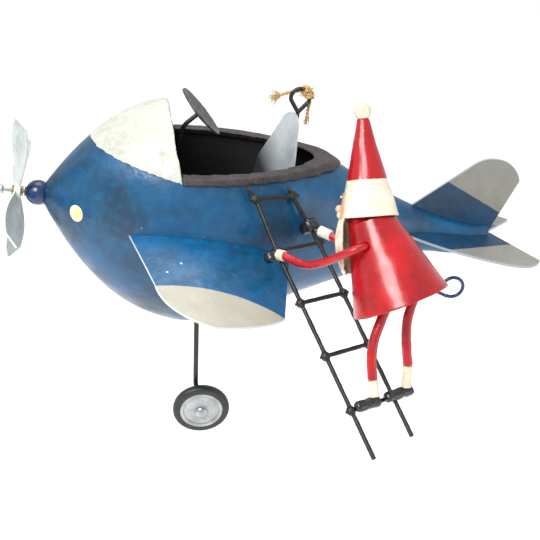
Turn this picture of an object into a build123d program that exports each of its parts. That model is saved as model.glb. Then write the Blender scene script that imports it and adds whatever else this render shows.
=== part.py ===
from build123d import *
from math import atan2, cos, degrees, pi, radians, sin, tan
import os

# Hanging toy aeroplane with a spinning propeller, a turning wheel and a small
# figure that climbs a net ladder to the cockpit. Millimetres, +Z is up, the
# nose points to -X and the port side to -Y. The origin is the centre of the
# wire eye that the toy hangs by.

# ---- Fits and clearances -------------------------------------------------
SKIN_GAP = 0.10          # between a fitted sheet piece and the body's skin
RUNNING_RADIAL = 0.06    # between a shaft and what turns on it
RUNNING_AXIAL = 0.35     # between a turning piece and its neighbour
GLUE_RADIAL = 0.03       # between a fixed wire and the hole that it sits in

# ---- Fuselage ------------------------------------------------------------
AXIS_Z = -40.0           # height of the fuselage axis under the eye
NOSE_X = -76.0           # front end of the body
TAIL_X = 71.0            # rear end of the body
TOP_HEIGHT = 35.0        # largest height above the axis
BELLY_DEPTH = 38.8       # largest depth below the axis
HALF_WIDTH = 28.2        # largest half width
TOP_PEAK_X = -30.0       # station of the largest height
BELLY_PEAK_X = -22.0     # station of the largest depth
NOSE_RADIUS = 2.4        # radius of the blunt nose end
TAIL_HEIGHT = 4.0        # height of the tail end above the axis
TAIL_DEPTH = 3.0         # depth of the tail end below the axis
TAIL_HALF_WIDTH = 2.6
NOSE_FULLNESS = 2.4      # higher is a blunter nose
TOP_TAPER = (1.9, 2.6)   # fullness and slimness of the back, towards the tail
BELLY_TAPER = (1.2, 1.5)  # the same for the belly
WALL = 1.0               # thickness of the body's skin
SLIMMEST = 0.4           # smallest half size of a shrunk section
STATION_SHARES = (0.0, 0.08, 0.2, 0.38, 0.62, 0.85)   # of the nose's length
TAIL_STATIONS = 5        # sections from the widest part to the tail end

# ---- Cockpit -------------------------------------------------------------
SCREEN_X = -35.4         # rear edge of the windscreen cowl, at the rim
SCREEN_LEAN = 16.5       # forward lean of that edge, degrees
RIM_Z = -23.2            # height of the rim at the cowl
RIM_RISE = 4.0           # how much the rim rises towards the tail, degrees
COWL_DROP = 7.5          # how much the cowl's lower edge falls from the nose, degrees
COWL_PROUD = 0.35        # how far the cowl stands out from the body's skin
COWL_WALL = 1.1
COAMING_OUT = 1.0        # the band's overhang outside the skin
COAMING_IN = 2.7         # the band's overhang inside the skin
COAMING_THICK = 2.0
TUB_FLOOR_Z = -52.0
TUB_FRONT_X = -46.0
TUB_REAR_X = 22.0
TUB_WALL = 0.8

# ---- Seat ----------------------------------------------------------------
SEAT_RADIUS = 60.0       # outside radius of the slightly curved seat sheet
SEAT_SHEET = 0.7
SEAT_TOP_Z = -4.9
SEAT_RAKE = 7.0          # lean of the back towards the tail, degrees
SEAT_YAW = 19.0          # turn of the face towards port, degrees
SEAT_TOP_RADIUS = 5.4    # rounding of the top edge
SEAT_SHOULDER = 20.0     # where the rounding meets the straight sides, degrees
SEAT_GAP = 0.3           # between the back and the hanging wire's stem
SEAT_HALF_WIDTH = 11.7   # half width of the sheet where it enters the cockpit

# ---- Steering wheel ------------------------------------------------------
STEER_CENTRE = (-31.1, 0.0, -8.9)
STEER_RADIUS = 8.9
STEER_SHEET = 0.7
STEER_DISH = 1.1         # depth of the disc's dish
STEER_TILT = 46.0        # elevation of the face's normal, degrees
COLUMN_WIRE = 1.4
COLUMN_FOOT_X = -36.4
COLUMN_BENDS = ((-36.2, 0.0, -19.5), (-34.9, 0.0, -13.0))    # where the wire turns
COLUMN_STRAIGHT = 2.6    # straight length behind the disc

# ---- Hanging wire --------------------------------------------------------
EYE_WIRE = 1.3
EYE_RADIUS = 2.95        # centre line of the round part
EYE_POINT_Z = -4.7       # where the two sides of the eye meet
EYE_SPREAD = 42.0        # angle from straight down to each side's start, degrees
TWINE = 1.1              # thickness of the knotted twine
TWINE_KNOT_RADIUS = 2.1  # outside of the turns round the eye
KNOT_START = 5.0         # where the turns begin round the eye, degrees
KNOT_SWEEP = 75.0
TWINE_LONG_END = ((1.4, 1.2, 2.6), (-0.9, 1.9, 1.5), (-3.6, 1.7, 0.9), (-6.6, 1.1, -0.3))
TWINE_SHORT_END = ((3.0, 0.9, 1.2), (3.5, 1.2, -1.2), (3.2, 1.0, -3.8), (3.4, 1.2, -6.4))

# ---- Nose, propeller and its axle ----------------------------------------
BALL_X = -77.4
BALL_RADIUS = 4.0
BALL_FLAT = 0.4          # depth of the flat that the washer sits on
AXLE_WIRE = 1.3
WASHER_RADIUS = 1.45
WASHER_THICK = 0.6
HUB_RADIUS = 1.5
HUB_LENGTH = 3.6
KNOB_RADIUS = 1.4
KNOB_LENGTH = 2.2
AXLE_FRONT_X = -90.2
PROP_RADIUS = 25.7
PROP_SHEET = 0.6
PROP_BLADES = 4
PROP_TURN = 14.0         # turn of the resting propeller, degrees
BLADE_CENTRE_RADIUS = 3.2
BLADE_SECTIONS = (       # share of the radius, width, pitch in degrees
    (0.10, 3.6, 24.0),
    (0.45, 8.6, 27.0),
    (0.80, 9.6, 30.0),
    (0.97, 6.2, 32.0),
)

# ---- Nose lamps ----------------------------------------------------------
LAMP_X = -65.4
LAMP_RADIUS = 2.6
LAMP_PROUD = 0.7

# ---- Wings ---------------------------------------------------------------
WING_SHEET = 0.8
WING_DROOP = 15.0        # degrees
WING_CAMBER_RADIUS = 59.0
WING_CREST_X = -30.0
WING_ROOT_Y = 27.0       # where the droop is measured from
WING_ROOT_Z = -38.6      # height of the crest there
WING_LEAD_X = -49.5      # leading edge at the root
WING_TRAIL_X = 0.9       # trailing edge at the root
WING_SPAN = 38.3         # from the root reference to the tip
WING_CORNER = 2.2        # rounding of the rear corner

# ---- Tail ----------------------------------------------------------------
FIN_SHEET = 1.0
FIN_FRONT_X = 43.0
FIN_TOP_Z = -13.0
FIN_REAR_X = 77.8
STAB_SHEET = 0.9
STAB_DROOP = 6.0         # degrees
STAB_Z = -39.0
STAB_FRONT_X = 38.0
STAB_HALF_SPAN = 21.2
STAB_TIP_X = 84.8
TAIL_NOTCH_X = 71.4      # where fin and stabilisers end on the body's axis
RING_WIRE = 1.2
RING_CENTRE = (64.3, 0.0, -60.6)
RING_RADIUS = 3.65
RING_START = -109.0      # where the loop leaves its lead, degrees
RING_SWEEP = 300.0
RING_ROOT = (46.4, 0.0, -46.0)      # the wire's end, inside the body
RING_LEAD = ((50.0, 0.0, -54.0), (55.5, 0.0, -61.6))   # the wire's run to the ring

# ---- Landing gear --------------------------------------------------------
STRUT_WIRE = 1.7
STRUT_TOP = (-22.4, 0.0, -77.4)
STRUT_KNEE = (-19.0, 0.0, -106.0)
WHEEL_AT = (-16.3, -3.1, -113.8)    # centre of the wheel
WHEEL_CAMBER = 8.0       # how far the axle's free end droops, degrees
TYRE_RADIUS = 9.8
TYRE_WIDTH = 3.0
DISC_RADIUS = 7.3
DISC_SHEET = 1.0
DISC_DOME = 0.9
DISC_BOSS_RADIUS = 2.0
CAP_RADIUS = 2.2
CAP_HEIGHT = 1.3

# ---- Ladder --------------------------------------------------------------
STRAND = 1.35            # thickness of the moulded net's strands
KNOT_RADIUS = 1.15       # swelling at each crossing
LADDER_AT = (-6.5, -35.5, -36.8)    # left end of the second rung
LADDER_YAW = 34.0        # turn of the rungs away from the plane's axis, degrees
LADDER_TIP = -1.7        # slope of the rungs, degrees
LADDER_LEAN = 52.0       # lean of the rails from upright, degrees
RUNG_SPACING = 17.3
LADDER_WIDTH = 17.9
LOWER_RUNGS = 4          # rungs on the straight part
LEFT_FOOT = 15.1         # rail length below the last rung
RIGHT_FOOT = 12.9
TOP_LEFT = (-13.5, -26.1, -24.7)    # left end of the first rung
TOP_RIGHT = (-1.5, -20.6, -24.8)    # right end of the first rung
HOOK_LEFT = (-16.6, -25.6, -22.0)  # end of the left rail, at the coaming
HOOK_RIGHT = (-3.2, -21.1, -22.2)  # end of the right rail, at the coaming

# ---- Figure --------------------------------------------------------------
TIN = 0.7                # sheet of the figure's cones
BODY_BASE = (28.0, -54.6, -40.6)
BODY_TOP = (17.3, -44.4, -20.9)     # a point on the body's axis
BODY_RADIUS = 14.4
BODY_TOP_RADIUS = 6.55
BODY_LENGTH = 26.0
PLATE_RECESS = 1.8       # depth of the plate inside the skirt
PLATE_THICK = 0.8
HEAD_BASE = (16.8, -43.5, -19.8)
HEAD_TOP = (12.4, -31.7, 5.4)
HEAD_RADIUS = 8.5
HEAD_TOP_RADIUS = 1.7
BAND_HEIGHT = 10.7
FACING = (-0.9, 0.42, -0.28)        # the way that the figure looks
POMPOM_RADIUS = 2.5
POMPOM_LENGTH = 6.0
FACE_HALF_ANGLE = 40.0
FACE_TOP = 7.4
FACE_PROUD = 0.35
NOSE_BEAD_RADIUS = 1.2
NOSE_HEIGHT = 2.8
EYE_BEAD_RADIUS = 0.5
EYE_HEIGHT = 4.9
EYE_ANGLE = 15.0
BEARD_HALF_ANGLE = 45.0
BEARD_BULGE = 10.1       # radius of the beard's widest line
BEARD_LENGTH = 16.0
ARM_WIRE = 2.4
LEG_WIRE = 2.9
CUFF_RADIUS = 1.65
SOCK_RADIUS = 1.75
BOOT_WIDTH = 2.8
BOOT_HEIGHT = 2.4
BOOT_GAP = 0.08          # between a boot's sole and the rung
NEAR_BOOT = (5.2, 9.4)   # centre along the last rung, and length
FAR_BOOT = (18.6, 11.2)
NEAR_ARM = ((16.6, -51.6, -25.0), (12.2, -55.3, -24.6), (8.4, -53.9, -27.8),
            (4.3, -49.8, -32.7), (0.7, -46.0, -35.8), (-2.6, -42.0, -36.3), (-4.9, -39.4, -36.3))
FAR_ARM = ((20.6, -40.6, -30.0), (18.6, -37.0, -32.2), (15.4, -34.2, -33.7),
           (12.9, -31.6, -33.6), (10.6, -28.9, -33.0))
NEAR_LEG = ((24.0, -55.9, -38.6), (22.8, -57.2, -44.4), (20.9, -59.6, -50.4), (20.6, -61.7, -55.7),
            (21.6, -64.2, -61.4))
FAR_LEG = ((33.0, -51.6, -38.0), (32.0, -52.8, -42.4), (31.3, -54.2, -47.6), (32.0, -56.1, -53.4),
           (33.4, -57.9, -59.3))
NEAR_CUFF_END = (-6.6, -37.7, -36.8)
FAR_CUFF_END = (7.4, -26.2, -32.8)
NEAR_SOCK_END = (22.7, -66.3, -66.1)
FAR_SOCK_END = (33.9, -59.6, -66.1)
NEAR_MITTEN = ((-7.6, -37.3, -37.8), (5.6, 3.1, 3.2))   # centre and size
FAR_MITTEN = ((4.6, -23.9, -32.8), (4.6, 3.6, 5.0))

FAR = 200.0              # larger than the toy, for cutting blocks


# ---- Helpers -------------------------------------------------------------
def rod(start, end, diameter):
    """Return a round rod between two points."""
    a, b = Vector(start), Vector(end)
    plane = Plane(origin=a, z_dir=b - a)
    return plane * Cylinder(diameter / 2, (b - a).length, align=(Align.CENTER, Align.CENTER, Align.MIN))


def bead(centre, radius):
    """Return a ball at a point."""
    return Pos(*centre) * Sphere(radius)


def bend_radii(points):
    """Return the radius of each bend: 0.45 of the shorter run over tan of half the turn."""
    pts = [Vector(p) for p in points]
    radii = []
    for a, b, c in zip(pts, pts[1:], pts[2:]):
        turn = radians((b - a).get_angle(c - b))
        radii.append(0.45 * min((b - a).length, (c - b).length) / tan(turn / 2))
    return radii


def wire_path(points):
    """Return straight runs joined by tangent arcs."""
    return FilletPolyline(*[Vector(p) for p in points], radius=bend_radii(points))


def bent_wire(points, diameter):
    """Return a round wire that follows the points."""
    path = wire_path(points)
    profile = Plane(origin=path @ 0, z_dir=path % 0) * Circle(diameter / 2)
    return sweep(profile, path=path)


def side_block(points):
    """Return a block as wide as the toy, with the given outline in X and Z."""
    outline = make_face(Polyline(*[(x, 0, z) for x, z in points], close=True))
    return extrude(outline, amount=FAR, dir=(0, 1, 0), both=True)


def frame_at(origin, axis_end, facing):
    """Return a plane at a point, Z along an axis and X as near to `facing` as it can be."""
    z_dir = (Vector(axis_end) - Vector(origin)).normalized()
    x_dir = Vector(facing)
    x_dir = (x_dir - z_dir * x_dir.dot(z_dir)).normalized()
    return Plane(origin=origin, x_dir=x_dir, z_dir=z_dir)


def rounded_block(size, rounding):
    """Return a box with all its edges rounded."""
    box = Box(*size)
    return fillet(box.edges(), rounding)


# ---- Fuselage ------------------------------------------------------------
def swell(share, fullness, slimness):
    """Return 1 at the widest station and 0 at the end, with a named fullness."""
    return (1 - share ** fullness) ** slimness


def height_at(x, peak_x, peak, nose, tail, taper):
    """Return the body's height or depth at a station."""
    if x <= peak_x:
        return nose + (peak - nose) * swell((peak_x - x) / (peak_x - NOSE_X), NOSE_FULLNESS, 1)
    return tail + (peak - tail) * swell((x - peak_x) / (TAIL_X - peak_x), *taper)


def section_sizes(x):
    """Return the half width, height and depth of the body at a station."""
    top = height_at(x, TOP_PEAK_X, TOP_HEIGHT, NOSE_RADIUS, TAIL_HEIGHT, TOP_TAPER)
    belly = height_at(x, BELLY_PEAK_X, BELLY_DEPTH, NOSE_RADIUS, TAIL_DEPTH, BELLY_TAPER)
    wide_top = height_at(x, TOP_PEAK_X, HALF_WIDTH, NOSE_RADIUS, TAIL_HALF_WIDTH, TOP_TAPER)
    wide_belly = height_at(x, BELLY_PEAK_X, HALF_WIDTH, NOSE_RADIUS, TAIL_HALF_WIDTH, BELLY_TAPER)
    return (wide_top + wide_belly) / 2, top, belly


def section(x, grow):
    """Return one cross-section of the body, grown all round."""
    half, top, belly = [max(size + grow, SLIMMEST) for size in section_sizes(min(max(x, NOSE_X), TAIL_X))]
    ring = [EllipticalCenterArc((0, 0), half, top, 0, arc_size=180),
            EllipticalCenterArc((0, 0), half, belly, 180, arc_size=180)]
    return Plane(origin=(x, 0, AXIS_Z), x_dir=(0, 1, 0), z_dir=(1, 0, 0)) * make_face(ring)


def body_form(grow):
    """Return the body as one solid, grown or shrunk all round."""
    length = TOP_PEAK_X - NOSE_X
    stations = [NOSE_X + share * length for share in STATION_SHARES]
    step = (TAIL_X - TOP_PEAK_X) / TAIL_STATIONS
    stations += [TOP_PEAK_X + step * i for i in range(TAIL_STATIONS + 1)]
    stations[0] -= grow
    stations[-1] += grow
    return loft([section(x, grow) for x in stations])


def rim_height(x):
    """Return the height of the cockpit's rim at a station."""
    return RIM_Z + (x - SCREEN_X) * tan(radians(RIM_RISE))


def screen_top():
    """Return the point high above the windscreen's leaning rear edge."""
    return SCREEN_X - FAR * sin(radians(SCREEN_LEAN)), RIM_Z + FAR * cos(radians(SCREEN_LEAN))


def cowl_block():
    """Return the space that the windscreen cowl fills."""
    front_x = NOSE_X - 20
    front_z = RIM_Z + (SCREEN_X - front_x) * tan(radians(COWL_DROP))
    top_x, top_z = screen_top()
    return side_block([(SCREEN_X, RIM_Z), (top_x, top_z), (front_x - FAR, top_z), (front_x, front_z)])


def cockpit_block():
    """Return the space above the rim, behind the windscreen."""
    rear_x = TAIL_X + 30
    top_x, top_z = screen_top()
    return side_block([(SCREEN_X, RIM_Z), (rear_x, rim_height(rear_x)), (rear_x, top_z), (top_x, top_z)])


def fuselage_shell(outer, inner):
    """Return the blue skin, open at the cockpit and under the cowl."""
    skin = outer - inner - cowl_block() - cockpit_block()
    seat = bead((BALL_X, 0, AXIS_Z), BALL_RADIUS + GLUE_RADIAL)
    strut_hole = bent_wire(strut_points(), STRUT_WIRE + 2 * GLUE_RADIAL)
    ring_hole = bent_wire(ring_points(), RING_WIRE + 2 * GLUE_RADIAL)
    return skin - seat - strut_hole - ring_hole


def windscreen_cowl():
    """Return the raised skin in front of the cockpit."""
    return (body_form(COWL_PROUD) - body_form(COWL_PROUD - COWL_WALL)) & cowl_block()


def cockpit_coaming():
    """Return the padded band round the cockpit opening."""
    slope = tan(radians(RIM_RISE))
    rear_x = TAIL_X
    lift = COAMING_THICK
    slab = side_block([
        (SCREEN_X, RIM_Z), (rear_x, RIM_Z + (rear_x - SCREEN_X) * slope),
        (rear_x, RIM_Z + (rear_x - SCREEN_X) * slope + lift),
        (SCREEN_X - lift * tan(radians(SCREEN_LEAN)), RIM_Z + lift)])
    return (body_form(COAMING_OUT) - body_form(-COAMING_IN)) & slab


def tub_space(shrink):
    """Return the inside of the body between the tub's floor and the rim."""
    front_x, rear_x = TUB_FRONT_X + shrink, TUB_REAR_X - shrink
    front_z = RIM_Z + (SCREEN_X - TUB_FRONT_X) * tan(radians(COWL_DROP))
    over = 4 * shrink
    block = side_block([
        (front_x, TUB_FLOOR_Z + shrink), (rear_x, TUB_FLOOR_Z + shrink),
        (rear_x, rim_height(rear_x) + over), (SCREEN_X, RIM_Z + over), (front_x, front_z + over)])
    return body_form(-WALL - SKIN_GAP - shrink) & block


def cockpit_tub():
    """Return the dark lining of the cockpit, with its floor."""
    return tub_space(0) - tub_space(TUB_WALL)


def pilot_seat():
    """Return the upright sheet in the cockpit, just ahead of the hanging wire's stem."""
    floor_z = TUB_FLOOR_Z + TUB_WALL
    height = SEAT_TOP_Z - floor_z
    sheet = Cylinder(SEAT_RADIUS, 3 * height) - Cylinder(SEAT_RADIUS - SEAT_SHEET, 3 * height)
    sheet -= Pos(-SEAT_RADIUS, 0, 0) * Box(2 * SEAT_RADIUS, 3 * SEAT_RADIUS, 3 * height)
    back_x = -EYE_WIRE / 2 - SEAT_GAP
    sheet = Pos(back_x, 0, SEAT_TOP_Z) * Rot(0, SEAT_RAKE, 0) * Pos(-SEAT_RADIUS, 0, 0) * sheet
    crown_z = SEAT_TOP_Z - SEAT_TOP_RADIUS
    start = radians(SEAT_SHOULDER)
    side = (SEAT_TOP_RADIUS * cos(start), crown_z + SEAT_TOP_RADIUS * sin(start))
    outline = [
        Line((side[0], side[1]), (SEAT_HALF_WIDTH, RIM_Z)),
        Line((SEAT_HALF_WIDTH, RIM_Z), (SEAT_HALF_WIDTH, floor_z)),
        Line((SEAT_HALF_WIDTH, floor_z), (-SEAT_HALF_WIDTH, floor_z)),
        Line((-SEAT_HALF_WIDTH, floor_z), (-SEAT_HALF_WIDTH, RIM_Z)),
        Line((-SEAT_HALF_WIDTH, RIM_Z), (-side[0], side[1])),
        ThreePointArc((-side[0], side[1]), (0, SEAT_TOP_Z), (side[0], side[1])),
    ]
    face = Plane(origin=(0, 0, 0), x_dir=(0, 1, 0), z_dir=(1, 0, 0)) * make_face(outline)
    return Rot(0, 0, SEAT_YAW) * (sheet & extrude(face, amount=FAR, both=True))


def steering_plane():
    """Return the plane of the steering wheel's face, looking at the pilot."""
    tilt = radians(STEER_TILT)
    return Plane(origin=STEER_CENTRE, x_dir=(0, 1, 0), z_dir=(cos(tilt), 0, sin(tilt)))


def dished_disc(radius, sheet, dish):
    """Return a thin disc, hollow towards +Z, with its middle at the origin."""
    sphere = (radius ** 2 + dish ** 2) / (2 * dish)
    shell = Pos(0, 0, sphere) * (Sphere(sphere) - Sphere(sphere - sheet))
    return shell & Cylinder(radius, 4 * dish + 4 * sheet)


def steering_wheel():
    """Return the dished disc."""
    return steering_plane() * dished_disc(STEER_RADIUS, STEER_SHEET, STEER_DISH)


def steering_column():
    """Return the arched wire from the cockpit's floor to the disc's back."""
    floor_z = TUB_FLOOR_Z + TUB_WALL
    back = steering_plane()
    end = back.from_local_coords((0, 0, -GLUE_RADIAL))
    below = back.from_local_coords((0, 0, -COLUMN_STRAIGHT))
    points = [(COLUMN_FOOT_X, 0, floor_z), *COLUMN_BENDS, tuple(below), tuple(end)]
    return bent_wire(points, COLUMN_WIRE)


# ---- Hanging wire and twine ----------------------------------------------
def eye_side(sign):
    """Return where one straight side of the eye meets its round part."""
    angle = radians(EYE_SPREAD)
    return sign * EYE_RADIUS * sin(angle + pi / 6), 0, -EYE_RADIUS * cos(angle + pi / 6)


def hanging_wire():
    """Return the stem and its eye."""
    left, right = eye_side(-1), eye_side(1)
    start = degrees(atan2(right[2], right[0]))
    arc = CenterArc((0, 0), EYE_RADIUS, start, 180 - 2 * start)
    arc = eye_plane() * arc
    ring = sweep(Plane(origin=arc @ 0, z_dir=arc % 0) * Circle(EYE_WIRE / 2), path=arc)
    point = (0, 0, EYE_POINT_Z)
    floor_z = TUB_FLOOR_Z + TUB_WALL
    return (ring + rod(left, point, EYE_WIRE) + rod(right, point, EYE_WIRE)
            + bead(left, EYE_WIRE / 2) + bead(right, EYE_WIRE / 2)
            + bead(point, EYE_WIRE / 2) + rod((0, 0, floor_z), point, EYE_WIRE))


def eye_plane():
    """Return the plane of the eye, X to the tail and Y up."""
    return Plane(origin=(0, 0, 0), x_dir=(1, 0, 0), z_dir=(0, -1, 0))


def print_route(name, points, diameter):
    """Print a cord's length and the radii of its bends."""
    radii = ", ".join(f"{radius:.3f}" for radius in bend_radii(points))
    length = wire_path(points).length
    print(f"{name}: diameter {diameter:.2f} mm, length {length:.2f} mm, bend radii {radii} mm")


def twine_knot(wire):
    """Return the outer shape of the twine's turns round the eye."""
    arc = eye_plane() * CenterArc((0, 0), EYE_RADIUS, KNOT_START, KNOT_SWEEP)
    sleeve = sweep(Plane(origin=arc @ 0, z_dir=arc % 0) * Circle(TWINE_KNOT_RADIUS), path=arc)
    return sleeve - wire


def twine_tails(knot, wire):
    """Return the two loose ends of the twine."""
    ends = (TWINE_SHORT_END, TWINE_LONG_END)
    return Compound([bent_wire(points, TWINE) - knot - wire for points in ends])


# ---- Nose and propeller --------------------------------------------------
def nose_station(name):
    """Return the X of one face in the stack on the propeller's axle."""
    ball_face = BALL_X - BALL_RADIUS + BALL_FLAT
    washer_face = ball_face - WASHER_THICK
    hub_back = washer_face - RUNNING_AXIAL
    places = {"ball": ball_face, "washer": washer_face, "hub_back": hub_back,
              "hub_front": hub_back - HUB_LENGTH, "sheet": hub_back - HUB_LENGTH / 2}
    return places[name]


def on_axle(x_start, x_end, radius, bore=0.0):
    """Return a round piece round the propeller's axle, with an optional bore."""
    piece = rod((x_start, 0, AXIS_Z), (x_end, 0, AXIS_Z), 2 * radius)
    if bore:
        piece -= rod((x_start - 1, 0, AXIS_Z), (x_end + 1, 0, AXIS_Z), 2 * bore)
    return piece


def nose_ball():
    """Return the blue bead at the nose, bored for the axle."""
    face = nose_station("ball")
    ball = bead((BALL_X, 0, AXIS_Z), BALL_RADIUS)
    ball &= Pos(face + FAR / 2, 0, AXIS_Z) * Box(FAR, FAR, FAR)
    return ball - on_axle(AXLE_FRONT_X, BALL_X + BALL_RADIUS + 1, AXLE_WIRE / 2 + GLUE_RADIAL)


def nose_axle():
    """Return the wire that the propeller turns on."""
    return on_axle(AXLE_FRONT_X + KNOB_LENGTH / 2, BALL_X + BALL_RADIUS - 0.5, AXLE_WIRE / 2)


def spacer_washer():
    """Return the dark washer between the bead and the hub."""
    bore = AXLE_WIRE / 2 + GLUE_RADIAL
    return on_axle(nose_station("washer"), nose_station("ball"), WASHER_RADIUS, bore)


def axle_stop_knob():
    """Return the rounded knob that keeps the propeller on its axle."""
    knob = on_axle(AXLE_FRONT_X, AXLE_FRONT_X + KNOB_LENGTH, KNOB_RADIUS)
    knob = fillet(knob.edges().filter_by(GeomType.CIRCLE), 0.6)
    bore = AXLE_WIRE / 2 + GLUE_RADIAL
    return knob - on_axle(AXLE_FRONT_X + KNOB_LENGTH / 2, AXLE_FRONT_X + 2 * KNOB_LENGTH, bore)


def propeller_hub():
    """Return the brass tube that turns on the axle."""
    bore = AXLE_WIRE / 2 + RUNNING_RADIAL
    return on_axle(nose_station("hub_front"), nose_station("hub_back"), HUB_RADIUS, bore)


def blade():
    """Return one twisted blade that points up, round the X axis."""
    faces = []
    for share, width, pitch in BLADE_SECTIONS:
        plane = Plane(origin=(0, 0, share * PROP_RADIUS), x_dir=(0, 1, 0), z_dir=(0, 0, 1))
        faces.append(plane * (Rot(0, 0, pitch) * Rectangle(width, PROP_SHEET)))
    twisted = loft(faces)
    tip = Cylinder(PROP_RADIUS, FAR, rotation=(0, 90, 0))
    return twisted & tip


def propeller_blades():
    """Return the four blades and their centre as one sheet."""
    one = blade()
    sheet = Cylinder(BLADE_CENTRE_RADIUS, 3 * PROP_SHEET, rotation=(0, 90, 0))
    for i in range(PROP_BLADES):
        sheet += Rot(PROP_TURN + 360 * i / PROP_BLADES, 0, 0) * one
    sheet -= Cylinder(HUB_RADIUS + GLUE_RADIAL, FAR, rotation=(0, 90, 0))
    return Pos(nose_station("sheet"), 0, AXIS_Z) * sheet


def lens(radius, rise, foot):
    """Return a shallow round dome that rises from the origin, with a foot below it."""
    ball = (radius ** 2 + rise ** 2) / (2 * rise)
    dome = Pos(0, 0, rise - ball) * Sphere(ball)
    standing = (Align.CENTER, Align.CENTER, Align.MIN)
    barrel = Pos(0, 0, -foot) * Cylinder(radius, 2 * foot + 2 * rise, align=standing)
    return dome & barrel


def nose_lamps(outer):
    """Return the pair of small round lamps on the nose."""
    half = section_sizes(LAMP_X)[0]
    ahead = section_sizes(LAMP_X - 1)[0]
    flare = atan2(half - ahead, 1)
    seat = Plane(origin=(LAMP_X, -half, AXIS_Z), x_dir=(0, 0, 1), z_dir=(-sin(flare), -cos(flare), 0))
    port = seat * lens(LAMP_RADIUS, LAMP_PROUD, LAMP_PROUD / 2)
    return Compound([port - outer, mirror(port, about=Plane.XZ) - outer])


# ---- Wings and tail ------------------------------------------------------
def wing_outline():
    """Return the wing's outline, X along the chord and Y out along the span."""
    tip_x = -25.8
    lead_end = (-42.3, 20.9)
    trail_end = (-4.0, 26.6)
    inner = -14.0
    edges = [
        Line((WING_LEAD_X, inner), (WING_LEAD_X, -2.5)),
        Line((WING_LEAD_X, -2.5), lead_end),
        ThreePointArc(lead_end, (-35.4, 33.3), (tip_x, WING_SPAN)),
        ThreePointArc((tip_x, WING_SPAN), (-14.6, 34.9), trail_end),
        Line(trail_end, (WING_TRAIL_X, -4.0)),
        Line((WING_TRAIL_X, -4.0), (WING_TRAIL_X, inner)),
        Line((WING_TRAIL_X, inner), (WING_LEAD_X, inner)),
    ]
    face = make_face(edges)
    corner = face.vertices().sort_by_distance((trail_end[0], trail_end[1], 0))[0]
    return fillet(corner, WING_CORNER)


def port_wing():
    """Return the port wing: a thin sheet, curved along its chord, that droops."""
    blank = extrude(wing_outline(), amount=FAR / 4, both=True)
    centre_z = WING_ROOT_Z - WING_CAMBER_RADIUS
    curve = (Cylinder(WING_CAMBER_RADIUS + WING_SHEET / 2, FAR, rotation=(90, 0, 0))
             - Cylinder(WING_CAMBER_RADIUS - WING_SHEET / 2, FAR, rotation=(90, 0, 0)))
    curve = Pos(WING_CREST_X, 0, -WING_CAMBER_RADIUS) * curve
    crest_side = Box(FAR, FAR, WING_CAMBER_RADIUS)
    sheet = mirror(blank & curve & crest_side, about=Plane.XZ)
    return Pos(0, -WING_ROOT_Y, WING_ROOT_Z) * Rot(WING_DROOP, 0, 0) * sheet


def tail_fin(skin):
    """Return the upright fin in the plane of symmetry."""
    points_front = (FIN_FRONT_X, -32.0)
    shoulder = (60.9, -15.8)
    crown = (68.0, FIN_TOP_Z)
    rear_top = (FIN_REAR_X, -19.6)
    edges = [
        Line((FIN_FRONT_X, AXIS_Z), points_front),
        Line(points_front, shoulder),
        ThreePointArc(shoulder, (64.4, -13.6), crown),
        ThreePointArc(crown, (74.4, -14.9), rear_top),
        Line(rear_top, (TAIL_NOTCH_X, AXIS_Z + 1.4)),
        Line((TAIL_NOTCH_X, AXIS_Z + 1.4), (TAIL_NOTCH_X, AXIS_Z)),
        Line((TAIL_NOTCH_X, AXIS_Z), (FIN_FRONT_X, AXIS_Z)),
    ]
    face = Plane(origin=(0, 0, 0), x_dir=(1, 0, 0), z_dir=(0, -1, 0)) * make_face(edges)
    return extrude(face, amount=FIN_SHEET / 2, both=True) - skin


def port_stabiliser():
    """Return the port half of the tailplane."""
    root = 1.0
    shoulder = (72.0, 20.8)
    crown = (77.0, STAB_HALF_SPAN)
    tip = (STAB_TIP_X, 16.7)
    edges = [
        Line((STAB_FRONT_X, root), (STAB_FRONT_X, 5.0)),
        ThreePointArc((STAB_FRONT_X, 5.0), (54.0, 14.8), shoulder),
        ThreePointArc(shoulder, (74.5, 21.2), crown),
        ThreePointArc(crown, (82.0, 19.8), tip),
        Line(tip, (TAIL_NOTCH_X + 0.6, root)),
        Line((TAIL_NOTCH_X + 0.6, root), (STAB_FRONT_X, root)),
    ]
    sheet = extrude(make_face(edges), amount=STAB_SHEET / 2, both=True)
    sheet = mirror(sheet, about=Plane.XZ)
    return Pos(0, 0, STAB_Z) * Rot(STAB_DROOP, 0, 0) * sheet


def ring_points():
    """Return the route of the wire that carries the tail ring."""
    x, y, z = RING_CENTRE
    return [RING_ROOT, *RING_LEAD, (x - RING_WIRE, y, z - RING_RADIUS)]


def tail_ring():
    """Return the wire loop under the tail."""
    x, y, z = RING_CENTRE
    lead = bent_wire(ring_points(), RING_WIRE)
    plane = Plane(origin=RING_CENTRE, x_dir=(1, 0, 0), z_dir=(0, -1, 0))
    arc = plane * CenterArc((0, 0), RING_RADIUS, RING_START, RING_SWEEP)
    loop = sweep(Plane(origin=arc @ 0, z_dir=arc % 0) * Circle(RING_WIRE / 2), path=arc)
    joint = bead(tuple(arc @ 0), RING_WIRE / 2)
    return lead + loop + joint


# ---- Landing gear --------------------------------------------------------
def wheel_plane():
    """Return the wheel's middle plane, with Z out along its axle."""
    camber = radians(WHEEL_CAMBER)
    return Plane(origin=WHEEL_AT, x_dir=(1, 0, 0), z_dir=(0, -cos(camber), -sin(camber)))


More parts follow.
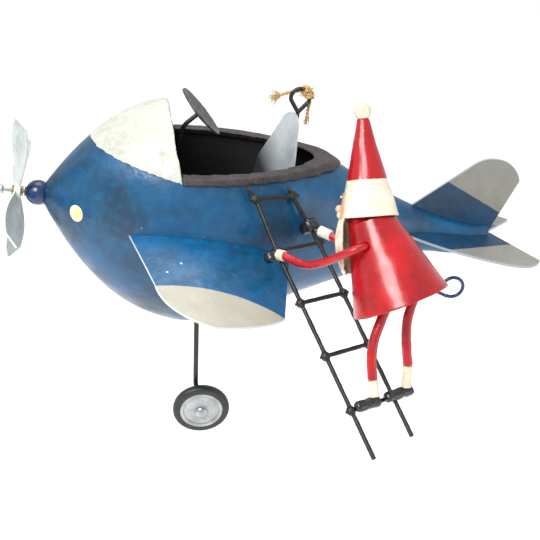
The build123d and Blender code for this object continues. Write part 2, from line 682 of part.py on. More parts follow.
def strut_points():
    """Return the route of the strut, which bends out at its foot into the axle."""
    axle = wheel_plane()
    corner = axle.from_local_coords((0, 0, -TYRE_WIDTH / 2 - RUNNING_AXIAL - STRUT_WIRE / 2))
    end = axle.from_local_coords((0, 0, DISC_SHEET + DISC_DOME + RUNNING_AXIAL + CAP_HEIGHT / 2))
    return [STRUT_TOP, STRUT_KNEE, tuple(corner), tuple(end)]


def landing_strut():
    """Return the strut and its axle as one bent wire."""
    top, knee, corner, end = [Vector(p) for p in strut_points()]
    upper = FilletPolyline(top, knee, corner, radius=12)
    leg = sweep(Plane(origin=upper @ 0, z_dir=upper % 0) * Circle(STRUT_WIRE / 2), path=upper)
    return leg + bead(tuple(corner), STRUT_WIRE / 2) + rod(tuple(corner), tuple(end), STRUT_WIRE)


def tyre():
    """Return the tyre: a flat-sided ring with rounded shoulders."""
    ring = Cylinder(TYRE_RADIUS, TYRE_WIDTH) - Cylinder(DISC_RADIUS, TYRE_WIDTH)
    outer = ring.edges().filter_by(GeomType.CIRCLE).sort_by(SortBy.RADIUS)[-2:]
    return wheel_plane() * fillet(outer, 1.1)


def wheel_disc():
    """Return the domed disc that carries the tyre and turns on the axle."""
    rim = Cylinder(DISC_RADIUS, TYRE_WIDTH) - Cylinder(DISC_RADIUS - DISC_SHEET, TYRE_WIDTH)
    dome = mirror(dished_disc(DISC_RADIUS - DISC_SHEET / 2, DISC_SHEET, DISC_DOME), about=Plane.XY)
    dome = Pos(0, 0, DISC_DOME + DISC_SHEET) * dome
    boss = Pos(0, 0, -TYRE_WIDTH / 2) * Cylinder(
        DISC_BOSS_RADIUS, TYRE_WIDTH / 2 + DISC_DOME, align=(Align.CENTER, Align.CENTER, Align.MIN))
    bore = Cylinder(STRUT_WIRE / 2 + RUNNING_RADIAL, FAR)
    return wheel_plane() * (rim + dome + boss - bore)


def wheel_cap():
    """Return the rivet head that keeps the wheel on its axle."""
    foot = DISC_DOME + DISC_SHEET + RUNNING_AXIAL
    head = Sphere(CAP_RADIUS) & Pos(0, 0, CAP_RADIUS) * Box(3 * CAP_RADIUS, 3 * CAP_RADIUS, 2 * CAP_RADIUS)
    head = Pos(0, 0, foot) * scale(head, by=(1, 1, CAP_HEIGHT / CAP_RADIUS))
    blind = Cylinder(STRUT_WIRE / 2 + GLUE_RADIAL, foot + CAP_HEIGHT / 2,
                     align=(Align.CENTER, Align.CENTER, Align.MIN))
    return wheel_plane() * (head - blind)


# ---- Ladder --------------------------------------------------------------
def ladder_plane():
    """Return the ladder's plane: X along the rungs, Y up the rails, Z outwards."""
    yaw, tip, lean = radians(LADDER_YAW), radians(LADDER_TIP), radians(LADDER_LEAN)
    across = Vector(cos(yaw) * cos(tip), sin(yaw) * cos(tip), sin(tip))
    down = Vector(sin(yaw) * sin(lean), -cos(yaw) * sin(lean), -cos(lean))
    down = (down - across * down.dot(across)).normalized()
    return Plane(origin=LADDER_AT, x_dir=across, z_dir=across.cross(down * -1))


def crossing(row, side):
    """Return the crossing of a lower rung with the left (0) or right (1) rail."""
    return ladder_plane().from_local_coords((side * LADDER_WIDTH, -row * RUNG_SPACING, 0))


def rail_points(side):
    """Return the bends of one rail, from its hook to its foot."""
    foot = (LEFT_FOOT, RIGHT_FOOT)[side]
    drop = (LOWER_RUNGS - 1) * RUNG_SPACING + foot
    end = ladder_plane().from_local_coords((side * LADDER_WIDTH, -drop, 0))
    hook, top = (HOOK_LEFT, HOOK_RIGHT)[side], (TOP_LEFT, TOP_RIGHT)[side]
    return [hook, top, tuple(crossing(0, side)), tuple(end)]


def ladder_rails():
    """Return both rails, with a swelling at each crossing."""
    rails = []
    for side in (0, 1):
        points = rail_points(side)
        swellings = [points[1]] + [tuple(crossing(row, side)) for row in range(LOWER_RUNGS)]
        rails.append(bent_wire(points, STRAND) + [bead(place, KNOT_RADIUS) for place in swellings])
    return Compound(rails)


def ladder_rungs(rails):
    """Return the rungs, each ending on the rails' swellings."""
    ends = [(TOP_LEFT, TOP_RIGHT)]
    ends += [(tuple(crossing(row, 0)), tuple(crossing(row, 1))) for row in range(LOWER_RUNGS)]
    return Compound([rod(a, b, STRAND) - rails for a, b in ends])


# ---- Figure --------------------------------------------------------------
def body_plane():
    """Return the figure's body frame: origin at the skirt, Z up its axis."""
    return frame_at(BODY_BASE, BODY_TOP, FACING)


def head_plane():
    """Return the figure's head frame: origin at the neck, Z up the hat, X ahead."""
    return frame_at(HEAD_BASE, HEAD_TOP, FACING)


def cone_radius(height):
    """Return the outside radius of the head's cone at a height."""
    length = (Vector(HEAD_TOP) - Vector(HEAD_BASE)).length
    return HEAD_RADIUS - (HEAD_RADIUS - HEAD_TOP_RADIUS) * height / length


def cone_shell(low, high, wall, proud=0.0):
    """Return a length of the head's cone as a shell, in the head's frame."""
    align = (Align.CENTER, Align.CENTER, Align.MIN)
    outer = Cone(cone_radius(low) + proud, cone_radius(high) + proud, high - low, align=align)
    hollow = proud - wall
    inner = Cone(cone_radius(low) + hollow, cone_radius(high) + hollow, high - low, align=align)
    return Pos(0, 0, low) * (outer - inner)


def sector(half_angle, low, high):
    """Return a wedge round +X between two heights, for cutting."""
    reach = 2 * BODY_RADIUS
    x, y = reach * cos(radians(half_angle)), reach * sin(radians(half_angle))
    wedge = make_face(Polyline((0, 0), (x, -y), (2 * reach, -y), (2 * reach, y), (x, y), close=True))
    return Pos(0, 0, low) * extrude(wedge, amount=high - low)


def figure_body():
    """Return the red skirted body, holed for the arms."""
    align = (Align.CENTER, Align.CENTER, Align.MIN)
    shell = (Cone(BODY_RADIUS, BODY_TOP_RADIUS, BODY_LENGTH, align=align)
             - Cone(BODY_RADIUS - TIN, BODY_TOP_RADIUS - TIN, BODY_LENGTH, align=align))
    shell = body_plane() * shell
    for points in (NEAR_ARM, FAR_ARM):
        shell -= bent_wire(points, ARM_WIRE + 2 * GLUE_RADIAL)
    return shell


def body_radius(height):
    """Return the outside radius of the body's cone at a height."""
    return BODY_RADIUS - (BODY_RADIUS - BODY_TOP_RADIUS) * height / BODY_LENGTH


def figure_base_plate():
    """Return the plate inside the skirt that carries the legs."""
    low, high = PLATE_RECESS, PLATE_RECESS + PLATE_THICK
    slope_wall = TIN + GLUE_RADIAL
    plate = Cone(body_radius(low) - slope_wall, body_radius(high) - slope_wall, PLATE_THICK,
                 align=(Align.CENTER, Align.CENTER, Align.MIN))
    return body_plane() * Pos(0, 0, low) * plate


def hat_band():
    """Return the cream lower part of the head's cone."""
    return head_plane() * cone_shell(0, BAND_HEIGHT, TIN)


def hat_cone():
    """Return the red upper part of the head's cone."""
    length = (Vector(HEAD_TOP) - Vector(HEAD_BASE)).length
    return head_plane() * cone_shell(BAND_HEIGHT, length, TIN)


def hat_pompom():
    """Return the egg-shaped tip of the hat."""
    egg = scale(Sphere(POMPOM_RADIUS), by=(1, 1, POMPOM_LENGTH / 2 / POMPOM_RADIUS))
    length = (Vector(HEAD_TOP) - Vector(HEAD_BASE)).length
    seat = Pos(0, 0, length - FAR / 2) * Box(FAR, FAR, FAR)
    egg = Pos(0, 0, length + POMPOM_LENGTH / 2 - 0.7) * egg
    return head_plane() * (egg - seat)


def figure_face():
    """Return the plain face plate on the front of the head."""
    sheet = cone_shell(0, FACE_TOP, FACE_PROUD - GLUE_RADIAL, FACE_PROUD)
    return head_plane() * (sheet & sector(FACE_HALF_ANGLE, 0, FACE_TOP))


def on_face(height, angle, proud):
    """Return a point on the face, at a height and an angle from straight ahead."""
    reach = cone_radius(height) + FACE_PROUD + proud
    local = (reach * cos(radians(angle)), reach * sin(radians(angle)), height)
    return tuple(head_plane().from_local_coords(local))


def face_plane(height, angle):
    """Return the plane that touches the face at a point, Z out of the face."""
    length = (Vector(HEAD_TOP) - Vector(HEAD_BASE)).length
    slope, turn = atan2(HEAD_RADIUS - HEAD_TOP_RADIUS, length), radians(angle)
    ahead = head_plane().from_local_coords((cos(slope) * cos(turn), cos(slope) * sin(turn), sin(slope)))
    return Plane(origin=on_face(height, angle, GLUE_RADIAL), z_dir=ahead - Vector(HEAD_BASE))


def face_bead(height, angle, radius, proud):
    """Return a ball on the face, flattened where it is glued on."""
    above = Pos(0, 0, 2 * radius) * Box(4 * radius, 4 * radius, 4 * radius)
    return face_plane(height, angle) * (Pos(0, 0, proud) * Sphere(radius) & above)


def figure_nose():
    """Return the round nose."""
    return face_bead(NOSE_HEIGHT, 0, NOSE_BEAD_RADIUS, NOSE_BEAD_RADIUS * 0.4)


def figure_eyes():
    """Return the two bead eyes."""
    angles = (-EYE_ANGLE, EYE_ANGLE)
    return Compound([face_bead(EYE_HEIGHT, angle, EYE_BEAD_RADIUS, 0) for angle in angles])


def figure_beard():
    """Return the curved beard that hangs in front of the body."""
    neck = cone_radius(0)
    tip = BEARD_BULGE - 1.6
    outer = ThreePointArc((neck, 0), (BEARD_BULGE, -0.56 * BEARD_LENGTH), (tip, -BEARD_LENGTH))
    inner = Pos(-TIN, 0, 0) * outer
    top, bottom = Line((neck, 0), (neck - TIN, 0)), Line((tip, -BEARD_LENGTH), (tip - TIN, -BEARD_LENGTH))
    edges = [outer, inner, top, bottom]
    profile = Plane(origin=(0, 0, 0), x_dir=(1, 0, 0), z_dir=(0, -1, 0)) * make_face(edges)
    bib = revolve(profile, axis=Axis.Z, revolution_arc=360)
    bib &= sector(BEARD_HALF_ANGLE, -BEARD_LENGTH, 0)
    tip_cut = Plane(origin=(0, 0, -BEARD_LENGTH), x_dir=(0, 1, 0), z_dir=(1, 0, 0)) * make_face(Polyline(
        (-3.0, 0), (3.0, 0), (9.0, 7.0), (9.0, BEARD_LENGTH), (-9.0, BEARD_LENGTH), (-9.0, 7.0), close=True))
    return head_plane() * (bib & extrude(tip_cut, amount=FAR, both=True))


def figure_arms(cuffs):
    """Return both arms."""
    pairs = zip((NEAR_ARM, FAR_ARM), cuffs)
    return Compound([bent_wire(points, ARM_WIRE) - cuff for points, cuff in pairs])


def mitten(place, rails, cuff):
    """Return one mitten closed round a rail."""
    (centre, size) = place
    plane = ladder_plane()
    block = Plane(origin=centre, x_dir=plane.x_dir, z_dir=plane.z_dir) * rounded_block(size, 1.2)
    return block - rails - cuff


def figure_cuffs(rails):
    """Return both cuffs."""
    near = rod(NEAR_ARM[-1], NEAR_CUFF_END, 2 * CUFF_RADIUS)
    far = rod(FAR_ARM[-1], FAR_CUFF_END, 2 * CUFF_RADIUS)
    return [near - rails, far - rails]


def figure_legs(plate_up, socks):
    """Return both legs, cut off at the plate that they hang from."""
    return Compound([bent_wire(points, LEG_WIRE) - plate_up - sock
                     for points, sock in zip((NEAR_LEG, FAR_LEG), socks)])


def above_plate():
    """Return everything above the underside of the figure's plate."""
    return body_plane() * Pos(0, 0, PLATE_RECESS + FAR / 2) * Box(FAR, FAR, FAR)


def figure_socks():
    """Return both socks."""
    near = rod(NEAR_LEG[-1], NEAR_SOCK_END, 2 * SOCK_RADIUS)
    far = rod(FAR_LEG[-1], FAR_SOCK_END, 2 * SOCK_RADIUS)
    return [near, far]


def figure_boots(socks, rails):
    """Return both boots, standing on the last rung."""
    plane = ladder_plane()
    lift = STRAND / 2 + BOOT_HEIGHT / 2 + BOOT_GAP
    boots = []
    for (along, length), sock in zip((NEAR_BOOT, FAR_BOOT), socks):
        centre = plane.from_local_coords((along, -(LOWER_RUNGS - 1) * RUNG_SPACING, lift))
        shape = rounded_block((length, BOOT_WIDTH, BOOT_HEIGHT), 1.1)
        boots.append(Plane(origin=centre, x_dir=plane.x_dir, z_dir=plane.z_dir) * shape - sock - rails)
    return boots


# ---- Build ---------------------------------------------------------------
def build():
    """Return every node's shape by name."""
    outer = body_form(0)
    inner = body_form(-WALL)
    skin = body_form(SKIN_GAP)
    wing = port_wing()
    stabiliser = port_stabiliser()
    rails = ladder_rails()
    cuffs = figure_cuffs(rails)
    socks = figure_socks()
    boots = figure_boots(socks, rails)
    wire = hanging_wire()
    knot = twine_knot(wire)
    nodes = {
        "fuselage_shell": fuselage_shell(outer, inner),
        "windscreen_cowl": windscreen_cowl(),
        "cockpit_coaming": cockpit_coaming(),
        "cockpit_tub": cockpit_tub(),
        "pilot_seat": pilot_seat(),
        "steering_wheel": steering_wheel(),
        "steering_column": steering_column(),
        "hanging_wire": wire,
        "twine_knot": knot,
        "twine_tails": twine_tails(knot, wire),
        "nose_ball": nose_ball(),
        "nose_axle": nose_axle(),
        "spacer_washer": spacer_washer(),
        "axle_stop_knob": axle_stop_knob(),
        "propeller_hub": propeller_hub(),
        "propeller_blades": propeller_blades(),
        "nose_lamps": nose_lamps(outer),
        "wing_port": wing - skin,
        "wing_starboard": mirror(wing, about=Plane.XZ) - skin,
        "tail_fin": tail_fin(skin),
        "stabiliser_port": stabiliser - skin,
        "stabiliser_starboard": mirror(stabiliser, about=Plane.XZ) - skin,
        "tail_ring": tail_ring(),
        "landing_strut": landing_strut(),
        "tyre": tyre(),
        "wheel_disc": wheel_disc(),
        "wheel_cap": wheel_cap(),
        "ladder_rails": rails,
        "ladder_rungs": ladder_rungs(rails),
        "figure_body": figure_body(),
        "figure_base_plate": figure_base_plate(),
        "hat_band": hat_band(),
        "hat_cone": hat_cone(),
        "hat_pompom": hat_pompom(),
        "figure_face": figure_face(),
        "figure_nose": figure_nose(),
        "figure_eyes": figure_eyes(),
        "figure_beard": figure_beard(),
        "figure_arms": figure_arms(cuffs),
        "figure_cuffs": Compound(cuffs),
        "figure_mittens": Compound([mitten(place, rails, cuff)
                                    for place, cuff in zip((NEAR_MITTEN, FAR_MITTEN), cuffs)]),
        "figure_legs": figure_legs(above_plate(), socks),
        "figure_socks": Compound(socks),
        "figure_boots": Compound(boots),
    }
    return nodes


def main():
    """Write one STEP file for each node."""
    os.makedirs("parts", exist_ok=True)
    for name, shape in build().items():
        export_step(Compound(shape.solids()), f"parts/{name}.step")
    print_route("twine, short end", TWINE_SHORT_END, TWINE)
    print_route("twine, long end", TWINE_LONG_END, TWINE)


main()
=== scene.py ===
"""Looks of a hanging tinplate aeroplane with a small hatted figure on a net ladder.

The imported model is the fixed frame. Thin sheet and wire nodes keep their shape and get a
painted finish. Thick or hand-worked pieces are recast from their nodes with softened
edges, hammer marks and lumps of paint, and stand for those nodes.
"""
import logging
import math
from dataclasses import dataclass, field, replace
from enum import Enum
from typing import Iterable

import bmesh
import bpy
import numpy as np
from mathutils import Matrix, Vector, noise


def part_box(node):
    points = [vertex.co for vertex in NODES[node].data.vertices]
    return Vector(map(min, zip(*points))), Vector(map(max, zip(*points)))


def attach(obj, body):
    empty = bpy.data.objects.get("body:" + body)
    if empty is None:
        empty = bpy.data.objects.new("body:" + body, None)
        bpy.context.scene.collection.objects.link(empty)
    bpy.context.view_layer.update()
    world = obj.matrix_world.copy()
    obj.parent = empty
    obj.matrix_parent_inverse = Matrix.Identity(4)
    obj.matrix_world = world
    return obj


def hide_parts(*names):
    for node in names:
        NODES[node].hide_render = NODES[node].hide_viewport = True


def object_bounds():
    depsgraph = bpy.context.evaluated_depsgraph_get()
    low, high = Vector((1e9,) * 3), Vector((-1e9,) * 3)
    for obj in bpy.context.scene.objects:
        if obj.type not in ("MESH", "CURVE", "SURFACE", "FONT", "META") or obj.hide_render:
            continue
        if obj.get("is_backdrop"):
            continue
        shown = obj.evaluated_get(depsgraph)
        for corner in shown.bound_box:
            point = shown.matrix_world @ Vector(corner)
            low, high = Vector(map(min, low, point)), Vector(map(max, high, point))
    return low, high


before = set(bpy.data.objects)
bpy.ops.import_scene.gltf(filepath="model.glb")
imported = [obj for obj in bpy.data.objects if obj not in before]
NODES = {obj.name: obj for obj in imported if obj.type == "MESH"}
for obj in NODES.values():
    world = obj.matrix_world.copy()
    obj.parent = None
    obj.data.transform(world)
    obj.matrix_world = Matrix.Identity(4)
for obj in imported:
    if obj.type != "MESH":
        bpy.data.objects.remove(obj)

LOG = logging.getLogger("toy_aeroplane")
MM = 0.001
AIRFRAME = "airframe"
Mesh, Socket = bpy.types.Mesh, bpy.types.NodeSocket


# -------------------- colour and nodes
def linear(hex_colour: str) -> tuple[float, float, float, float]:
    """Turn an sRGB hex colour into linear light.

    Args:
        hex_colour: six hex digits after a hash.

    Returns:
        Red, green, blue and an alpha of one.
    """
    parts = [int(hex_colour[i:i + 2], 16) / 255 for i in (1, 3, 5)]
    red, green, blue = [p / 12.92 if p <= 0.04045 else ((p + 0.055) / 1.055) ** 2.4 for p in parts]
    return red, green, blue, 1.0


@dataclass
class Recipe:
    """A material's node tree while it is laid, and the place on the piece that it paints."""

    tree: bpy.types.NodeTree
    where: Socket

    def add(self, kind: str, settings: dict | None = None, links: dict | None = None) -> bpy.types.Node:
        """Add one shader node with its settings and its links.

        Args:
            kind: the node's type name.
            settings: values by input name or number, or by attribute name.
            links: output sockets by input name or number.

        Returns:
            The new node.
        """
        made = self.tree.nodes.new(kind)
        for key, value in (settings or {}).items():
            if isinstance(key, int) or key in made.inputs:
                made.inputs[key].default_value = value
            else:
                setattr(made, key, value)
        for key, socket in (links or {}).items():
            self.tree.links.new(socket, made.inputs[key])
        return made

    def noise(self, size_mm: float, detail: float, where: Socket | None = None) -> Socket:
        """Return cloudy noise, with clouds of about the size given."""
        return self.add("ShaderNodeTexNoise", {"Scale": 1 / (size_mm * MM), "Detail": detail},
                        {"Vector": where or self.where}).outputs["Fac"]

    def ramp(self, value: Socket, limits: tuple[float, float], start: float = 0.0,
             end: float = 1.0) -> Socket:
        """Return a number that runs from start to end while the value runs between its limits."""
        return self.add("ShaderNodeMapRange", {"From Min": limits[0], "From Max": limits[1], "To Min": start,
                                               "To Max": end}, {"Value": value}).outputs["Result"]

    def maths(self, operation: str, *values: Socket) -> Socket:
        """Return the sum, the product or the size of some numbers."""
        return self.add("ShaderNodeMath", {"operation": operation}, dict(enumerate(values))).outputs["Value"]

    def vector(self, operation: str, value: Socket, *other: tuple) -> bpy.types.Node:
        """Return the node that works on a vector, alone or with a fixed one."""
        return self.add("ShaderNodeVectorMath", {"operation": operation, **{1: fixed for fixed in other}},
                        {0: value})

    def mix(self, share: Socket, under: Socket | str, over: Socket | str) -> Socket:
        """Lay one colour over another.

        Args:
            share: how much of the upper colour shows.
            under: the lower colour, as a socket or in hex.
            over: the upper colour, as a socket or in hex.

        Returns:
            The colour socket.
        """
        settings, links = {"data_type": "RGBA"}, {0: share}
        for number, colour in ((6, under), (7, over)):
            if isinstance(colour, str):
                settings[number] = linear(colour)
            else:
                links[number] = colour
        return self.add("ShaderNodeMix", settings, links).outputs[2]

    def bump(self, height: Socket, depth_mm: float, links: dict | None = None) -> Socket:
        """Return the normal over a relief of the depth given."""
        return self.add("ShaderNodeBump", {"Strength": 1.0, "Distance": depth_mm * MM},
                        {"Height": height, **(links or {})}).outputs["Normal"]


class Grain(Enum):
    """How a surface's fine relief was made."""

    PEBBLED = "orange-peel of thick brushed paint"
    HAMMERED = "round hammer marks"
    STREAKED = "drawing or polishing marks along X"
    FLOCKED = "short matted fibres"


@dataclass(frozen=True)
class Border:
    """Where a second coat starts, and on the seat a painted shade: normal . place > reach, in metres in the
    row frame.
    """

    normal: tuple[float, float, float]
    reach: float
    wobble_mm: float = 0.22
    blur_mm: float = 0.07
    both_sides: bool = False


# Where the noise's hollows end and its peaks start, for each of its uses.
PATCH_LIMITS, MOTTLE_LIMITS, DULL_LIMITS, SPECK_LIMITS = (0.36, 0.62), (0.45, 0.75), (0.3, 0.7), (0.56, 0.62)
# How square to the sheet a face is where the cut edge's lighter colour ends, and how strong it is: thin worn
# paint and a painted highlight.
EDGE_LIMITS, EDGE_SHARE = (0.35, 0.6), 0.85
# The tinted middle of a small piece: its soft rim, as shares of its radius, and how strong it is.
SPOT_RIM, SPOT_SHARE = (0.6, 1.4), 0.8
# The hand's wander along a border, the patches of the second coat and of the seat's painted shade, and the
# specks' cells and groups.
HAND_MM, SECOND_TONE_PATCH_MM, SPECK_CELL_MM, SPECK_GROUP_MM = 3.5, 5.0, 7.0, 18.0
# Streaks are this much denser across X than along it.
STREAK_SQUASH = (0.08, 1.0, 1.0)


@dataclass(frozen=True)
class Finish:
    """One real finish, with the detail that it shows at its own scale."""

    name: str
    colour: str
    shade: str
    tint: str
    roughness: tuple[float, float]
    patch_mm: float = 12.0
    tint_share: float = 0.35
    grain: Grain = Grain.PEBBLED
    grain_mm: float = 0.9
    grain_depth_mm: float = 0.03
    dent_mm: float = 6.0
    dent_depth_mm: float = 0.1
    metallic: float = 0.0
    coat: float = 0.0
    sheen: float = 0.0
    chips_mm: float = 0.0
    chip_colour: str = "#d8dde0"
    border: Border | None = None
    second_colour: str = "#ffffff"
    second_shade: str = "#d0d0d0"
    edge_axis: tuple[float, float, float] | None = None
    edge_wear_and_highlight_colour: str = "#c9d3da"
    centre_m: tuple[float, float, float] | None = None
    centre_radius_mm: float = 1.2
    centre_colour: str = "#e8cf74"

    def build(self) -> bpy.types.Material:
        """Return the material, made from layers of noise in real millimetres."""
        material = bpy.data.materials.new(self.name)
        material.use_nodes = True
        material.node_tree.nodes.clear()
        place = material.node_tree.nodes.new("ShaderNodeTexCoord")
        kit = Recipe(material.node_tree, place.outputs["Object"])
        colour = self.base_coat(kit)
        if self.border:
            colour = self.second_coat_and_painted_shade(kit, colour)
        if self.centre_m:
            colour = self.centre_spot(kit, colour)
        if self.edge_axis:
            colour = self.worn_edge_and_painted_highlight(kit, place.outputs["Normal"], colour)
        if self.chips_mm:
            colour = self.chips(kit, colour)
        dull = kit.ramp(kit.noise(self.patch_mm / 2.5, 4.0), DULL_LIMITS, *self.roughness)
        shader = kit.add("ShaderNodeBsdfPrincipled", {
            "Metallic": self.metallic, "Coat Weight": self.coat, "Coat Roughness": 0.12,
            "Sheen Weight": self.sheen, "Sheen Roughness": 0.6},
            {"Base Color": colour, "Roughness": dull, "Normal": self.relief(kit)})
        kit.add("ShaderNodeOutputMaterial", {}, {"Surface": shader.outputs["BSDF"]})
        return material

    def base_coat(self, kit: Recipe) -> Socket:
        """Mix the shade, the colour and the tint in patches.

        Args:
            kit: the material's recipe.

        Returns:
            The colour socket.
        """
        patch = kit.ramp(kit.noise(self.patch_mm, 3.0), PATCH_LIMITS)
        coat = kit.mix(patch, self.shade, self.colour)
        mottle = kit.ramp(kit.noise(self.patch_mm / 6, 5.0), MOTTLE_LIMITS, 0.0, self.tint_share)
        return kit.mix(mottle, coat, self.tint)

    def second_coat_and_painted_shade(self, kit: Recipe, colour: Socket) -> Socket:
        """Lay the second coat past the border, with a hand-painted edge. On the seat this step lays painted
        shade.

        Args:
            kit: the material's recipe.
            colour: the first coat.

        Returns:
            The colour socket.
        """
        spot, border = kit.where, self.border
        if border.both_sides:
            apart = kit.add("ShaderNodeSeparateXYZ", {}, {"Vector": spot}).outputs
            spot = kit.add("ShaderNodeCombineXYZ", {}, {
                "X": apart["X"], "Y": kit.maths("ABSOLUTE", apart["Y"]), "Z": apart["Z"]}).outputs["Vector"]
        along = kit.vector("DOT_PRODUCT", spot, border.normal).outputs["Value"]
        wobble, blur = border.wobble_mm * MM, border.blur_mm * MM
        swing = kit.ramp(kit.noise(HAND_MM, 2.0), (0.0, 1.0), -wobble, wobble)
        past = kit.ramp(kit.maths("ADD", along, swing), (border.reach - blur, border.reach + blur))
        coat = kit.mix(kit.noise(SECOND_TONE_PATCH_MM, 4.0), self.second_shade, self.second_colour)
        return kit.mix(past, colour, coat)

    def centre_spot(self, kit: Recipe, colour: Socket) -> Socket:
        """Tint the middle of a small round piece.

        Args:
            kit: the material's recipe.
            colour: the coat so far.

        Returns:
            The colour socket.
        """
        size = kit.vector("ABSOLUTE", kit.where).outputs["Vector"]
        centre = tuple(abs(part) for part in self.centre_m)
        far = kit.vector("DISTANCE", size, centre).outputs["Value"]
        rim = tuple(share * self.centre_radius_mm * MM for share in SPOT_RIM)
        return kit.mix(kit.ramp(far, rim, SPOT_SHARE, 0.0), colour, self.centre_colour)

    def worn_edge_and_painted_highlight(self, kit: Recipe, facing: Socket, colour: Socket) -> Socket:
        """Lighten the cut edge of a sheet, where the paint is thin, and as a painted highlight of the lit
        edge.

        Args:
            kit: the material's recipe.
            facing: the surface's own direction.
            colour: the coat so far.

        Returns:
            The colour socket.
        """
        flat = kit.vector("DOT_PRODUCT", facing, self.edge_axis).outputs["Value"]
        edge = kit.ramp(kit.maths("ABSOLUTE", flat), EDGE_LIMITS, EDGE_SHARE, 0.0)
        return kit.mix(edge, colour, self.edge_wear_and_highlight_colour)

    def chips(self, kit: Recipe, colour: Socket) -> Socket:
        """Scatter a few tiny chips and specks.

        Args:
            kit: the material's recipe.
            colour: the coat so far.

        Returns:
            The colour socket.
        """
        cells = kit.add("ShaderNodeTexVoronoi", {"Scale": 1 / (SPECK_CELL_MM * MM), "Randomness": 1.0},
                        {"Vector": kit.where})
        size = self.chips_mm / SPECK_CELL_MM
        near = kit.ramp(cells.outputs["Distance"], (size / 2, size), 1.0, 0.0)
        gate = kit.ramp(kit.noise(SPECK_GROUP_MM, 1.0), SPECK_LIMITS)
        return kit.mix(kit.maths("MULTIPLY", near, gate), colour, self.chip_colour)

    def relief(self, kit: Recipe) -> Socket:
        """Raise the fine grain and the broad dents.

        Args:
            kit: the material's recipe.

        Returns:
            The normal socket.
        """
        if self.grain is Grain.HAMMERED:
            height = kit.add("ShaderNodeTexVoronoi", {
                "feature": "SMOOTH_F1", "Scale": 1 / (self.grain_mm * MM), "Smoothness": 0.8},
                {"Vector": kit.where}).outputs["Distance"]
        elif self.grain is Grain.STREAKED:
            long = kit.add("ShaderNodeMapping", {"Scale": STREAK_SQUASH}, {"Vector": kit.where})
            height = kit.noise(self.grain_mm, 2.0, long.outputs["Vector"])
        else:
            height = kit.noise(self.grain_mm, 8.0 if self.grain is Grain.FLOCKED else 2.0)
        grain = kit.bump(height, self.grain_depth_mm)
        return kit.bump(kit.noise(self.dent_mm, 2.0), self.dent_depth_mm, {"Normal": grain})


# -------------------- shapes
# A point's step towards its neighbours, and the longer one back that keeps the size.
RELAX_STEPS = (0.5, -0.52)
# Points closer than this are one point.
SAME_POINT_MM = 0.001


@dataclass(frozen=True)
class Lumps:
    """Soft lumps of paint or hammer marks: their size and height in millimetres."""

    size_mm: float
    height_mm: float
    seed: float = 0.0


def read_points(mesh: Mesh) -> np.ndarray:
    """Return the mesh's points, one row each."""
    flat = np.zeros(len(mesh.vertices) * 3)
    mesh.vertices.foreach_get("co", flat)
    return flat.reshape(-1, 3)


def write_points(mesh: Mesh, points: np.ndarray) -> None:
    """Put the points back into the mesh."""
    mesh.vertices.foreach_set("co", points.astype(np.float32).ravel())
    mesh.update()


def read_normals(mesh: Mesh) -> np.ndarray:
    """Return the mesh's normals at its points, one row each."""
    flat = np.zeros(len(mesh.vertices) * 3, np.float32)
    mesh.vertex_normals.foreach_get("vector", flat)
    return flat.reshape(-1, 3).astype(float)


def relax(mesh: Mesh, passes: int) -> None:
    """Soften edges without shrinking the shape.

    Args:
        mesh: the mesh to soften.
        passes: how often each point moves towards its neighbours and back.
    """
    points = read_points(mesh)
    ends = np.zeros(len(mesh.edges) * 2, int)
    mesh.edges.foreach_get("vertices", ends)
    a, b = ends.reshape(-1, 2).T
    count = len(points)
    degree = np.maximum(np.bincount(ends, minlength=count), 1)[:, None]
    for _ in range(passes):
        for weight in RELAX_STEPS:
            total = np.stack([np.bincount(a, points[b, k], count)
                              + np.bincount(b, points[a, k], count) for k in range(3)], axis=1)
            points = points + weight * (total / degree - points)
    write_points(mesh, points)


def raise_lumps(mesh: Mesh, *layers: Lumps, swell_mm: float = 0.0) -> None:
    """Move each point along its normal by layers of noise.

    Args:
        mesh: the mesh to shape.
        layers: the lumps to lay on it.
        swell_mm: an even thickness to add all over.
    """
    points, normals = read_points(mesh), read_normals(mesh)
    heights = np.full(len(points), swell_mm * MM)
    for layer in layers:
        scale = 1 / (layer.size_mm * MM)
        shift = Vector((layer.seed, 2 * layer.seed, -layer.seed))
        rough = np.array([noise.noise(Vector(p) * scale + shift) for p in points])
        heights += layer.height_mm * MM * rough
    write_points(mesh, points + normals * heights[:, None])


def join_meshes(nodes: Iterable[str], extras: tuple = ()) -> Mesh:
    """Return copies of some nodes' meshes as one, with any extra meshes.

    Args:
        nodes: the nodes to copy.
        extras: more meshes to take in.

    Returns:
        The new mesh.
    """
    gathered = bmesh.new()
    for mesh in [NODES[name].data for name in nodes] + list(extras):
        gathered.from_mesh(mesh)
    made = bpy.data.meshes.new("gathered")
    gathered.to_mesh(made)
    gathered.free()
    return made


def recast(mesh: Mesh, voxel_mm: float, passes: int) -> Mesh:
    """Return the mesh as one even skin of small faces, with softened edges.

    Args:
        mesh: one or more closed shapes.
        voxel_mm: the size of the new faces.
        passes: how much the edges are softened.

    Returns:
        The new mesh.
    """
    carrier = bpy.data.objects.new("carrier", mesh)
    bpy.context.scene.collection.objects.link(carrier)
    step = carrier.modifiers.new("recast", "REMESH")
    step.mode = "VOXEL"
    step.voxel_size = voxel_mm * MM
    bpy.context.view_layer.update()
    shown = carrier.evaluated_get(bpy.context.evaluated_depsgraph_get())
    made = bpy.data.meshes.new_from_object(shown)
    bpy.data.objects.remove(carrier)
    made.materials.clear()
    relax(made, passes)
    return made


